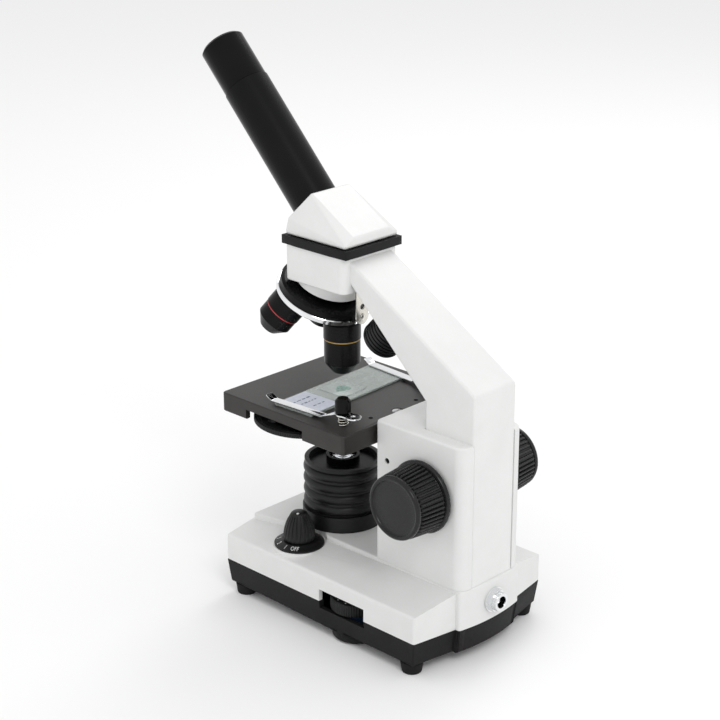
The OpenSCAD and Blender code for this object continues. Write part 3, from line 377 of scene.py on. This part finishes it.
def turned(x=0.0, y=0.0, z=0.0):
    return (Matrix.Rotation(math.radians(z), 4, "Z") @ Matrix.Rotation(math.radians(y), 4, "Y")
            @ Matrix.Rotation(math.radians(x), 4, "X"))


# ---------------------------------------------------------------- castings, in mm from the optical axis
def ball_hull(centres, radius, rings=6, spokes=16):
    """The tight skin round equal balls: a convex body with rounded edges."""
    bm = bmesh.new()
    for c in centres:
        for i in range(rings + 1):
            lat = math.pi * (i / rings - 0.5)
            for j in range(1 if i in (0, rings) else spokes):
                lon = 2 * math.pi * j / spokes
                bm.verts.new(Vector(c) + radius * Vector((math.cos(lat) * math.cos(lon),
                                                          math.cos(lat) * math.sin(lon), math.sin(lat))))
    made = bmesh.ops.convex_hull(bm, input=bm.verts)
    inner = {g for g in made["geom_interior"] + made["geom_unused"] if isinstance(g, bmesh.types.BMVert)}
    bmesh.ops.delete(bm, geom=list(inner), context="VERTS")
    bmesh.ops.dissolve_limit(bm, angle_limit=math.radians(0.4), verts=bm.verts, edges=bm.edges)
    return bm


def box_corners(low, high):
    """The eight corners of a box."""
    return [(x, y, z) for x in (low[0], high[0]) for y in (low[1], high[1]) for z in (low[2], high[2])]


def prism_of(outline, low, high, axis="z", soft=None, width=1.0, segments=3):
    """An outline pushed along an axis. soft(edge middle, edge direction) picks the edges to round."""
    def point(u, v, w):
        return Vector((u, v, w)) if axis == "z" else Vector((w, u, v))

    bm = bmesh.new()
    ends = [[bm.verts.new(point(u, v, w)) for u, v in outline] for w in (low, high)]
    bm.faces.new(ends[0])
    bm.faces.new(ends[1])
    for i in range(len(outline)):
        k = (i + 1) % len(outline)
        bm.faces.new((ends[0][i], ends[0][k], ends[1][k], ends[1][i]))
    bmesh.ops.recalc_face_normals(bm, faces=bm.faces)
    if soft:
        chosen = [e for e in bm.edges if soft((e.verts[0].co + e.verts[1].co) / 2,
                                              (e.verts[1].co - e.verts[0].co).normalized())]
        bmesh.ops.bevel(bm, geom=chosen, offset=width, segments=segments, affect="EDGES", profile=0.5)
    return bm


def drum_of(r, low, high, matrix=None, count=64):
    """A cylinder along z from low to high, then moved by the matrix."""
    bm = bmesh.new()
    bmesh.ops.create_cone(bm, cap_ends=True, segments=count, radius1=r, radius2=r, depth=high - low)
    bmesh.ops.translate(bm, vec=(0, 0, (low + high) / 2), verts=bm.verts)
    if matrix:
        bm.transform(matrix)
    return bm


def block_of(low, high):
    """A box between two corners."""
    bm = bmesh.new()
    bmesh.ops.create_cube(bm, size=1.0)
    for v in bm.verts:
        v.co = Vector([a + (c + 0.5) * (b - a) for a, b, c in zip(low, high, v.co)])
    return bm


def rounded_outline(w, l, radii, centre_y=0.0, steps=8):
    """Rectangle w by l; radii for the front and the back corners."""
    out = []
    for sx, sy, start in ((1, -1, -90), (1, 1, 0), (-1, 1, 90), (-1, -1, 180)):
        r = radii[0] if sy < 0 else radii[1]
        for i in range(steps + 1):
            t = math.radians(start + 90 * i / steps)
            out.append((sx * (w / 2 - r) + r * math.cos(t), centre_y + sy * (l / 2 - r) + r * math.sin(t)))
    return out


def solid_object(name, bm):
    mesh = bpy.data.meshes.new(name)
    bm.to_mesh(mesh)
    bm.free()
    obj = bpy.data.objects.new(name, mesh)
    bpy.context.scene.collection.objects.link(obj)
    return obj


def casting(node, look, steps):
    """Joins and cuts solids in order, and puts the result in place of a CAD node. steps is [(op, bmesh)]."""
    start = solid_object("casting_start", steps[0][1])
    tools = []
    for i, (op, bm) in enumerate(steps[1:]):
        tool = solid_object("casting_tool_%d" % i, bm)
        mod = start.modifiers.new("step_%d" % i, "BOOLEAN")
        mod.operation = op
        mod.solver = "EXACT"
        mod.object = tool
        tools.append(tool)
    bpy.context.view_layer.update()
    mesh = bpy.data.meshes.new_from_object(start.evaluated_get(bpy.context.evaluated_depsgraph_get()))
    for obj in [start] + tools:
        bpy.data.objects.remove(obj)
    mesh.name = node + "_cast"
    bm = bmesh.new()
    bm.from_mesh(mesh)
    bmesh.ops.remove_doubles(bm, verts=bm.verts, dist=0.002)
    bmesh.ops.dissolve_degenerate(bm, edges=bm.edges, dist=0.001)
    bm.transform(Matrix.Diagonal((MM, MM, MM, 1)) @ Matrix.Translation((0, AXIS_Y, 0)))
    bm.to_mesh(mesh)
    bm.free()
    obj = add_object(node + "_cast", mesh, look, body_with(node), node, 32.0)
    mod = obj.modifiers.new("even_shading", "WEIGHTED_NORMAL")
    mod.keep_sharp = True
    return obj


def mm_matrix(x, y, z, tilt=0.0, spin=0.0):
    return Matrix.Translation((x, y, z)) @ turned(x=tilt, z=spin)


SEAM_Z, SIDE_TOP, PLATEAU_Z = 19.5, 34.5, 41.0
HALF_W, FRONT_Y, BACK_Y, TAIL_W = 49.0, -40.5, 97.0, 23.0
TAIL_Y, BOW = 104.0, 2.5
BOW_R = (TAIL_W ** 2 + BOW ** 2) / (2 * BOW)
TILT, SPREAD, SEAT_Z = 23.0, 14.45, 158.35  # the turret's lean, its objectives' circle and the seat in use
TURRET_Y = -SPREAD * math.cos(math.radians(TILT))
TURRET_Z = SEAT_Z + SPREAD * math.sin(math.radians(TILT))
TURRET_MM = mm_matrix(0, TURRET_Y, TURRET_Z, -TILT)
HEAD_Z, TUBE_Y, TUBE_RISE = 200.0, -5.6, 46.3  # the head's seat, and where and how steeply the tube rises
TUBE_MM = mm_matrix(0, TUBE_Y, HEAD_Z, 90 - TUBE_RISE)
SHAFT_Y, SHAFT_Z = 80.0, 87.0
SHAFT_MM = mm_matrix(0, SHAFT_Y, SHAFT_Z) @ turned(y=90)
BOLT_R, BOLT_YS = 2.52, (78.0, 88.0)
LIGHT_R = 5.5
JACK_R, JACK_Z = 4.9, 30.0


def base_outline(margin):
    half, tail = HALF_W - margin, TAIL_W - margin
    arc = []
    for i in range(17):
        x = tail - 2 * tail * i / 16
        arc.append((x, TAIL_Y + BOW - BOW_R + math.sqrt((BOW_R - margin) ** 2 - x * x)))
    return ([(-half, FRONT_Y + margin), (half, FRONT_Y + margin), (half, BACK_Y - margin),
             (tail, TAIL_Y - BOW - margin)] + arc
            + [(-tail, TAIL_Y - BOW - margin), (-half, BACK_Y - margin)])


def upright(middle, along):
    return abs(along.z) > 0.9


def outline_soft(middle, along):
    top = middle.z > PLATEAU_Z - 0.01
    corner = abs(along.z) > 0.9 and (abs(middle.x) > 40 or (abs(middle.x) > 22 and middle.y > 103))
    return top or corner


EDGE = 1.7
RAMP_W = 30.5  # half the width of the plateau at the front
base_hull = ball_hull(
    box_corners((-HALF_W + EDGE, FRONT_Y + EDGE, SEAM_Z - 2), (HALF_W - EDGE, BACK_Y + 1, SIDE_TOP - EDGE))
    + box_corners((-TAIL_W + EDGE, 0, SEAM_Z - 2), (TAIL_W - EDGE, 109 - EDGE, SIDE_TOP - EDGE))
    + [(x, FRONT_Y + EDGE, SIDE_TOP + 3 - EDGE) for x in (-RAMP_W + EDGE, RAMP_W - EDGE)]
    + box_corners((-TAIL_W + EDGE, TAIL_Y + EDGE, SIDE_TOP),
                  (TAIL_W - EDGE, TAIL_Y + 4 - EDGE, PLATEAU_Z - 1 - EDGE)), EDGE)
plateau = [(-RAMP_W, FRONT_Y + 2), (RAMP_W, FRONT_Y + 2), (TAIL_W, -2), (TAIL_W, 115), (-TAIL_W, 115),
           (-TAIL_W, -2)]
SELECTOR = (33.3, 0.2, 36.9)
SELECTOR_MM = mm_matrix(*SELECTOR[:2], 0)
DIAL_R = 13.3
casting("base_shell", MOULD, [
    ("START", base_hull),
    ("UNION", prism_of(plateau, SEAM_Z, PLATEAU_Z, width=1.0,
                       soft=lambda m, a: m.z > PLATEAU_Z - 0.01 or upright(m, a))),
    ("UNION", drum_of(DIAL_R + 0.6, SEAM_Z, SELECTOR[2], SELECTOR_MM)),
    ("INTERSECT", prism_of(base_outline(0), SEAM_Z, PLATEAU_Z, soft=outline_soft, width=1.2)),
    ("DIFFERENCE", drum_of(DIAL_R + 1.2, SELECTOR[2], SELECTOR[2] + 9, SELECTOR_MM)),
    ("DIFFERENCE", prism_of(base_outline(2.5), SEAM_Z - 5, SIDE_TOP - 4)),
    ("DIFFERENCE", block_of((42.5, 30.5, SEAM_Z - 1), (52, 62.5, SEAM_Z + 6.8))),
    ("DIFFERENCE", drum_of(4.6, 28, 50, SELECTOR_MM)),
    ("DIFFERENCE", drum_of(LIGHT_R, 28, 50)),
    *[("DIFFERENCE", drum_of(BOLT_R, 28, 50, mm_matrix(0, y, 0), 32)) for y in BOLT_YS],
    ("DIFFERENCE", drum_of(JACK_R, 90, 115, mm_matrix(0, 0, JACK_Z, -90))),
])

COLUMN = (72.5, 105.0)
side_view = [(COLUMN[0], PLATEAU_Z), (COLUMN[1], PLATEAU_Z), (COLUMN[1], 143.0), (20.5, 193.5), (0, 193.5),
             (0, 181.0), (21.2, 181.0), (COLUMN[0], 132.32)]
block_plan = rounded_outline(40, 43.4, (4, 4), -0.5)
seat_start = drum_of(18.5, 10.1, 26.1, TURRET_MM, 96)
casting("arm", WHITE, [
    ("START", seat_start),
    ("INTERSECT", prism_of(block_plan, 158.35, 195.2)),
    ("UNION", prism_of(block_plan, 176.0, 195.2, soft=lambda m, a: m.z < 176.01, width=0.9)),
    ("UNION", prism_of(side_view, -15.5, 15.5, "x", width=1.5,
                       soft=lambda m, a: not (m.z < PLATEAU_Z + 0.1 or (m.y < 21 and abs(a.x) > 0.9)))),
    ("DIFFERENCE", drum_of(LIGHT_R, 158, 200)),
    ("DIFFERENCE", drum_of(14.3, 0, 10.1, TURRET_MM)),
    ("DIFFERENCE", block_of((-5, 10.4, 158), (5, 16.4, 176))),
    ("DIFFERENCE", drum_of(BOLT_R, 9, 19, TURRET_MM, 32)),
    ("DIFFERENCE", drum_of(3.5, -30, 30, SHAFT_MM, 48)),
    ("DIFFERENCE", block_of((-7, 70, 79), (7, 87.5, 95))),
    ("DIFFERENCE", block_of((-4.6, 70, 49), (4.6, 75.8, 114.8))),
    *[("DIFFERENCE", drum_of(BOLT_R, 40, 59.2, mm_matrix(0, y, 0), 32)) for y in BOLT_YS],
])

GEAR_W, GEAR_FRONT, GEAR_TOP = 46.0, 46.5, 118.0
gear_plan = rounded_outline(GEAR_W, COLUMN[1] - GEAR_FRONT, (1.6, 6.5), (COLUMN[1] + GEAR_FRONT) / 2)
gear_steps = [
    ("START", prism_of(gear_plan, PLATEAU_Z, GEAR_TOP, soft=lambda m, a: m.z > GEAR_TOP - 0.01, width=1.5)),
    ("DIFFERENCE", block_of((-15.52, COLUMN[0] - 0.02, 30), (15.52, 120, 130))),
    ("DIFFERENCE", block_of((-20, 49.5, 30), (20, COLUMN[0], 115))),
    ("DIFFERENCE", block_of((-13.6, 40, 71), (13.6, 52, 114.6))),
    ("DIFFERENCE", drum_of(4.52, -30, 30, SHAFT_MM, 48)),
    ("DIFFERENCE", drum_of(1.6, -30, 30, mm_matrix(0, 54.1, 97.3) @ turned(y=90), 32)),
]
casting("gearbox_cover", MOULD, gear_steps)

FOOT_W, FOOT_L = 40.6, 45.0
collar = []
for i in range(32):
    t = 2 * math.pi * i / 32
    for along in (13.6 + EDGE, 18 - EDGE):
        collar.append(TUBE_MM @ Vector(((13.9 - EDGE) * math.cos(t), (13.9 - EDGE) * math.sin(t), along)))
head_points = ([(sx * (FOOT_W / 2 - 2.5), sy * (FOOT_L / 2 - 2.5), z) for sx in (-1, 1) for sy in (-1, 1)
                for z in (HEAD_Z + EDGE, HEAD_Z + 2.6 - EDGE / 2)]
               + [(x, -7.7, HEAD_Z + 22.6 - EDGE) for x in (-14.4 + EDGE, 14.4 - EDGE)]
               + [(x, 21.5 - EDGE, HEAD_Z + 6 - EDGE) for x in (-14.4 + EDGE, 14.4 - EDGE)]
               + [(x, -19.5 + EDGE, HEAD_Z + 10 - EDGE) for x in (-19.9 + EDGE, 19.9 - EDGE)] + collar)
casting("head_shell", WHITE, [
    ("START", ball_hull(head_points, EDGE)),
    ("UNION", drum_of(14, 195.6, 203)),
    ("DIFFERENCE", drum_of(12.52, 14.5, 60, TUBE_MM, 96)),
    ("DIFFERENCE", drum_of(10.52, 11, 20, TUBE_MM)),
    ("DIFFERENCE", drum_of(9, 190, 203)),
    ("DIFFERENCE", block_of((-9, -12, 202), (9, 7, 211))),
])

# ---------------------------------------------------------------- smaller pieces with rounded edges
bevelled("bottom_tray", 0.8, TRAY)
bevelled("head_gasket", 0.5, TRAY)
bevelled("stage_plate", 0.7, STAGE)
bevelled("click_spring", 0.15, NICKEL, 2, shortest=3)
for side in ("right", "left"):
    bevelled("clip_" + side, 0.18, CHROME, 2, shortest=3)
for node in ("foot_front_right", "foot_front_left", "foot_back_right", "foot_back_left"):
    bevelled(node, 0.6, RUBBER)

# ---------------------------------------------------------------- focus knobs
KNOB_RIBS, KNOB_START = 44, 24.6
knob_rings = [(0, 0), (18.0, 0), (18.7, 0.3), (19.0, 1.0), (19.0, 2.0), (18.6, 2.6), (17.6, 2.9), (16.9, 3.1)]
first_rib = len(knob_rings)
for z in (3.3, 3.9, 7.0, 11.0, 15.0, 17.6, 18.3):
    knob_rings.append((16.75 - 1.15 * (z - 3.3) / 15.0, z))
last_rib = len(knob_rings) - 1
knob_rings += [(15.7, 18.7), (16.3, 18.9), (16.6, 19.5), (16.6, 20.4), (16.3, 21.1), (15.7, 21.5),
               (14.9, 21.5), (14.4, 21.2), (14.2, 20.6), (13.8, 20.3), (13.2, 20.2),
               (9.0, 20.3), (4.0, 20.35), (0, 20.35)]


def knob_ridge(i, turn):
    if not first_rib < i < last_rib:
        return 0.0
    return 1.35 * rib(turn, KNOB_RIBS, 0.66)


for side, angle in (("right", 90), ("left", -90)):
    start = (Matrix.Translation(at(0, SHAFT_Y, SHAFT_Z)) @ turned(y=angle)
             @ Matrix.Translation((0, 0, KNOB_START * MM)))
    revolve("knob_" + side, knob_rings, GRIP, "focus", start, KNOB_RIBS * 12, knob_ridge,
            "focus_knob_" + side)

# ---------------------------------------------------------------- selector with its numbers
FLUTES = 22
POINTER_AT = math.radians(33)
DOT_OUT, DOT_UP = 2.9, 18.3
pointer_rings = [(0, 3), (7.9, 3), (8.3, 3.2), (8.5, 3.9), (8.5, 5.0), (8.35, 6.6), (8.1, 8.4), (7.7, 10.2),
                 (7.1, 12.0), (6.4, 13.7), (5.6, 15.2), (4.8, 16.6), (4.2, 17.6), (3.5, 18.2), (2.4, 18.5),
                 (0, 18.6)]


def flute(i, turn):
    if not 4 <= i <= 12:
        return 0.0
    fade = 0.5 if i in (4, 12) else 1.0
    return -0.5 * rib(turn, FLUTES, 0.5) * fade


revolve("selector_grip", pointer_rings, KNOB, "selector", Matrix.Translation(at(*SELECTOR)), FLUTES * 8,
        flute, "selector_knob")
revolve("selector_dot", [(0, 0), (0.62, 0), (0.7, 0.06), (0.62, 0.12), (0, 0.14)], INK, "selector",
        Matrix.Translation(at(SELECTOR[0] + DOT_OUT * math.cos(POINTER_AT),
                              SELECTOR[1] + DOT_OUT * math.sin(POINTER_AT), SELECTOR[2] + DOT_UP))
        @ turned(y=16, z=33), 24)
SKIRT_SLOPE = math.radians(23)
NUMBER_OUT, NUMBER_UP, NUMBER_SIZE, NUMBER_T = 11.3, 1.79, 4.2, 0.04
for label, angle in (("OFF", 33), ("1", 5), ("2", -26), ("3", -57)):
    text = bpy.data.curves.new("text", "FONT")
    text.body = label
    text.align_x = "CENTER"
    text.align_y = "CENTER"
    text.size = NUMBER_SIZE * MM
    text.extrude = NUMBER_T * MM
    made = bpy.data.objects.new("text", text)
    bpy.context.scene.collection.objects.link(made)
    bpy.context.view_layer.update()
    mesh = bpy.data.meshes.new_from_object(made.evaluated_get(bpy.context.evaluated_depsgraph_get()))
    bpy.data.objects.remove(made)
    t = math.radians(angle)
    across = Vector((-math.sin(t), math.cos(t), 0))
    inward = Vector((-math.cos(t) * math.cos(SKIRT_SLOPE), -math.sin(t) * math.cos(SKIRT_SLOPE),
                     math.sin(SKIRT_SLOPE)))
    place = Matrix((across, inward, across.cross(inward))).transposed().to_4x4()
    place = Matrix.Translation(at(SELECTOR[0] + NUMBER_OUT * math.cos(t),
                                  SELECTOR[1] + NUMBER_OUT * math.sin(t), SELECTOR[2] + NUMBER_UP)) @ place
    mesh.transform(place @ Matrix.Diagonal((0.6, 0.95, 1, 1)))
    add_object("number_" + label, mesh, INK, "stand", smooth=0)

# ---------------------------------------------------------------- brightness wheel
WHEEL = (34.5, 44.4, 16.2)
WHEEL_R, WHEEL_T, WHEEL_RIBS = 14.3, 7.0, 64
DOTS_IN = 2.3
wheel_rings = [(0, 0), (WHEEL_R - 1.2, 0), (WHEEL_R - 0.5, 0.3), (WHEEL_R - 0.45, 0.8),
               (WHEEL_R - 0.45, WHEEL_T - 0.9), (WHEEL_R - 0.6, WHEEL_T - 0.3), (WHEEL_R - 1.3, WHEEL_T),
               (WHEEL_R - 3.4, WHEEL_T), (WHEEL_R - 3.8, WHEEL_T - 0.3), (0, WHEEL_T - 0.3)]
revolve("dimmer_wheel", wheel_rings, KNOB, "brightness", Matrix.Translation(at(*WHEEL)), WHEEL_RIBS * 6,
        lambda i, turn: 0.45 * rib(turn, WHEEL_RIBS, 0.6) if i in (3, 4) else 0.0, "brightness_wheel")
for i in range(12):
    t = math.radians(-62 + 25 * i)
    spot = at(WHEEL[0] + (WHEEL_R - DOTS_IN) * math.cos(t), WHEEL[1] + (WHEEL_R - DOTS_IN) * math.sin(t),
              WHEEL[2] + WHEEL_T)
    size = 0.35 + 0.035 * i
    revolve("wheel_dot_%02d" % i, [(0, 0), (size, 0), (size, 0.05), (0, 0.06)], INK, "brightness",
            Matrix.Translation(spot), 16)

# ---------------------------------------------------------------- diaphragm rim
RIM_R, RIM_RIBS = 28.3, 130
DISC = (19.5, -6, 102.1)
revolve("disc_rim", [(RIM_R - 0.6, 0.45), (RIM_R - 0.05, 0.45), (RIM_R + 0.02, 0.7), (RIM_R + 0.02, 2.7),
                     (RIM_R - 0.05, 2.95), (RIM_R - 0.6, 2.95)], KNOB, "diaphragm",
        Matrix.Translation(at(*DISC)), RIM_RIBS * 6,
        lambda i, turn: 0.3 * rib(turn, RIM_RIBS, 0.6) if i in (2, 3) else 0.0, loop=True)

# ---------------------------------------------------------------- objectives
turret_place = Matrix.Translation(at(0, TURRET_Y, TURRET_Z)) @ turned(x=-TILT)


def seat(angle):
    return turret_place @ turned(z=angle) @ Matrix.Translation((0, SPREAD * MM, 0)) @ turned(x=TILT)


BARREL_R = 9.6
RINGS = (("low", -120, 12.8, RED), ("mid", 0, 14.2, YELLOW), ("high", 120, 14.6, CYAN))
for name, angle, ring_at, look in RINGS:
    top = -ring_at
    revolve("ring_" + name, [(BARREL_R - 0.4, top - 0.68), (BARREL_R - 0.02, top - 0.68),
                             (BARREL_R + 0.08, top - 0.5), (BARREL_R + 0.08, top - 0.2),
                             (BARREL_R - 0.02, top - 0.03), (BARREL_R - 0.4, top - 0.03)],
            look, "nosepiece", seat(angle), 96, loop=True)
HIGH_L = 36.0
revolve("high_tip", [(4.3, -HIGH_L - 0.05), (4.75, -HIGH_L + 0.1), (6.75, -HIGH_L + 2.4),
                     (6.6, -HIGH_L + 2.5), (4.2, -HIGH_L + 0.3)],
        NICKEL, "nosepiece", seat(120), 72, loop=True)

# ---------------------------------------------------------------- springs under the clips
POST, STAGE_Z = 33.2, 114.1
for side, x in (("right", POST), ("left", -POST)):
    helix("coil_" + side, 2.5, 0.35, 4.3, 3, NICKEL, "stage", Matrix.Translation(at(x, POST, STAGE_Z + 0.5)),
          "clip_spring_" + side)

# ---------------------------------------------------------------- threads of the power inlet
helix("inlet_thread", 4.72, 0.24, 2.0, 3, CHROME, "stand",
      Matrix.Translation(at(0, 109.8, JACK_Z)) @ turned(x=-90), steps=48, sides=6)

# ---------------------------------------------------------------- slide, label and specimen
slide_place = Matrix.Translation(at(0, 0, 114.13)) @ turned(z=2.6)
SLIDE_SIZE = (76, 26, 1)
slab("slide_glass", SLIDE_SIZE, SLIDE, "slide", slide_place, 0.12, "glass_slide")
slab("slip_glass", (18, 18, 0.155), SLIP, "slide", slide_place @ Matrix.Translation((0, 0, 1.015 * MM)), 0.04,
     "cover_slip")
PAPER = surface("label_paper", (0.60, 0.63, 0.72), (0.68, 0.71, 0.80), (0.5, 0.62), patch=400, grain=2600)
PRINT = surface("label_print", (0.12, 0.14, 0.22), (0.17, 0.2, 0.3), (0.5, 0.6), patch=900, grain=2600)
slab("slide_label", (21, 24.4, 0.06), PAPER, "slide",
     slide_place @ Matrix.Translation((26.2 * MM, 0, 1.01 * MM)), 0.02)
rng = random.Random(7)
MARKS_X, MARK_GAP, MARK_Z = 19.5, 0.9, 1.07
for row, (line_y, count) in enumerate(((5.0, 3), (-1.0, 5), (-5.5, 4))):
    x = MARKS_X
    for i in range(count):
        length = rng.uniform(1.2, 3.2)
        slab("label_mark_%d_%d" % (row, i), (length, rng.uniform(0.7, 1.3), 0.02), PRINT, "slide",
             slide_place @ Matrix.Translation(Vector((x + length / 2, line_y, MARK_Z)) * MM), 0.005)
        x += length + MARK_GAP
stain, stain_tree, stain_bsdf = new_material("specimen_stain")
blot = noise(stain_tree, 420, 5.0, 0.7)
stain_tree.links.new(ramp(stain_tree, blot, [(0.35, (0.10, 0.36, 0.27)), (0.65, (0.32, 0.62, 0.5))]),
                     stain_bsdf.inputs["Base Color"])
stain_tree.links.new(spread(stain_tree, blot, 0.25, 0.6), stain_bsdf.inputs["Alpha"])
stain_bsdf.inputs["Roughness"].default_value = 0.4
bm = bmesh.new()
STAIN_POINTS, STAIN_R, STAIN_Z = 60, 4.4, 1.19
loop = []
for i in range(STAIN_POINTS):
    t = 2 * math.pi * i / STAIN_POINTS
    r = STAIN_R * (1 + 0.14 * math.sin(3 * t + 1) + 0.08 * math.sin(7 * t) + rng.uniform(-0.03, 0.03))
    loop.append(bm.verts.new(slide_place @ (Vector((r * math.cos(t), 0.8 * r * math.sin(t), STAIN_Z)) * MM)))
bm.faces.new(loop)
stain_mesh = bpy.data.meshes.new("specimen")
bm.to_mesh(stain_mesh)
bm.free()
add_object("specimen", stain_mesh, stain, "slide", smooth=0)

# ---------------------------------------------------------------- camera, floor and light
cam_data = bpy.data.cameras.new("camera")
cam = bpy.data.objects.new("camera", cam_data)
bpy.context.scene.collection.objects.link(cam)
CAMERA_AT = at(631.815, 627.847, 465.242)
CAMERA_RIGHT = Vector((-0.696828, 0.717234, -0.002392))
CAMERA_UP = Vector((-0.253349, -0.243018, 0.936353))
SENSOR, LENS_LENGTH = 36.0, 90.67
cam.matrix_world = Matrix.Translation(CAMERA_AT) @ Matrix(
    (CAMERA_RIGHT, CAMERA_UP, CAMERA_RIGHT.cross(CAMERA_UP))).transposed().to_4x4()
cam_data.sensor_width = SENSOR
cam_data.lens = LENS_LENGTH
cam_data.clip_start, cam_data.clip_end = 0.01, 50.0
bpy.context.scene.camera = cam

floor_mesh = bpy.data.meshes.new("floor")
HALF = 6.0
floor_mesh.from_pydata([(-HALF, -HALF, 0), (HALF, -HALF, 0), (HALF, HALF, 0), (-HALF, HALF, 0)], [],
                       [(0, 1, 2, 3)])
floor = bpy.data.objects.new("floor", floor_mesh)
bpy.context.scene.collection.objects.link(floor)
floor_mat, _, floor_bsdf = new_material("floor_pale")
floor_bsdf.inputs["Base Color"].default_value = (0.93, 0.93, 0.93, 1)
floor_bsdf.inputs["Roughness"].default_value = 0.9
floor_bsdf.inputs["Specular IOR Level"].default_value = 0.0
floor_mesh.materials.append(floor_mat)

world = bpy.data.worlds.new("studio")
bpy.context.scene.world = world
world.use_nodes = True
world.node_tree.nodes["Background"].inputs["Color"].default_value = (1, 1, 1, 1)
world.node_tree.nodes["Background"].inputs["Strength"].default_value = 0.9


def area_light(name, place, target, size, power):
    data = bpy.data.lights.new(name, "AREA")
    data.shape = "DISK"
    data.size = size
    data.energy = power
    lamp = bpy.data.objects.new(name, data)
    bpy.context.scene.collection.objects.link(lamp)
    lamp.location = place
    lamp.rotation_mode = "QUATERNION"
    lamp.rotation_quaternion = (Vector(target) - Vector(place)).to_track_quat("-Z", "Y")


area_light("key", (0.5, 0.95, 1.15), (0, 0, 0.12), 0.6, 4.4)
area_light("rim", (-0.9, -0.3, 1.1), (0, 0, 0.15), 0.6, 3.0)
bpy.context.scene.view_settings.view_transform = "Standard"
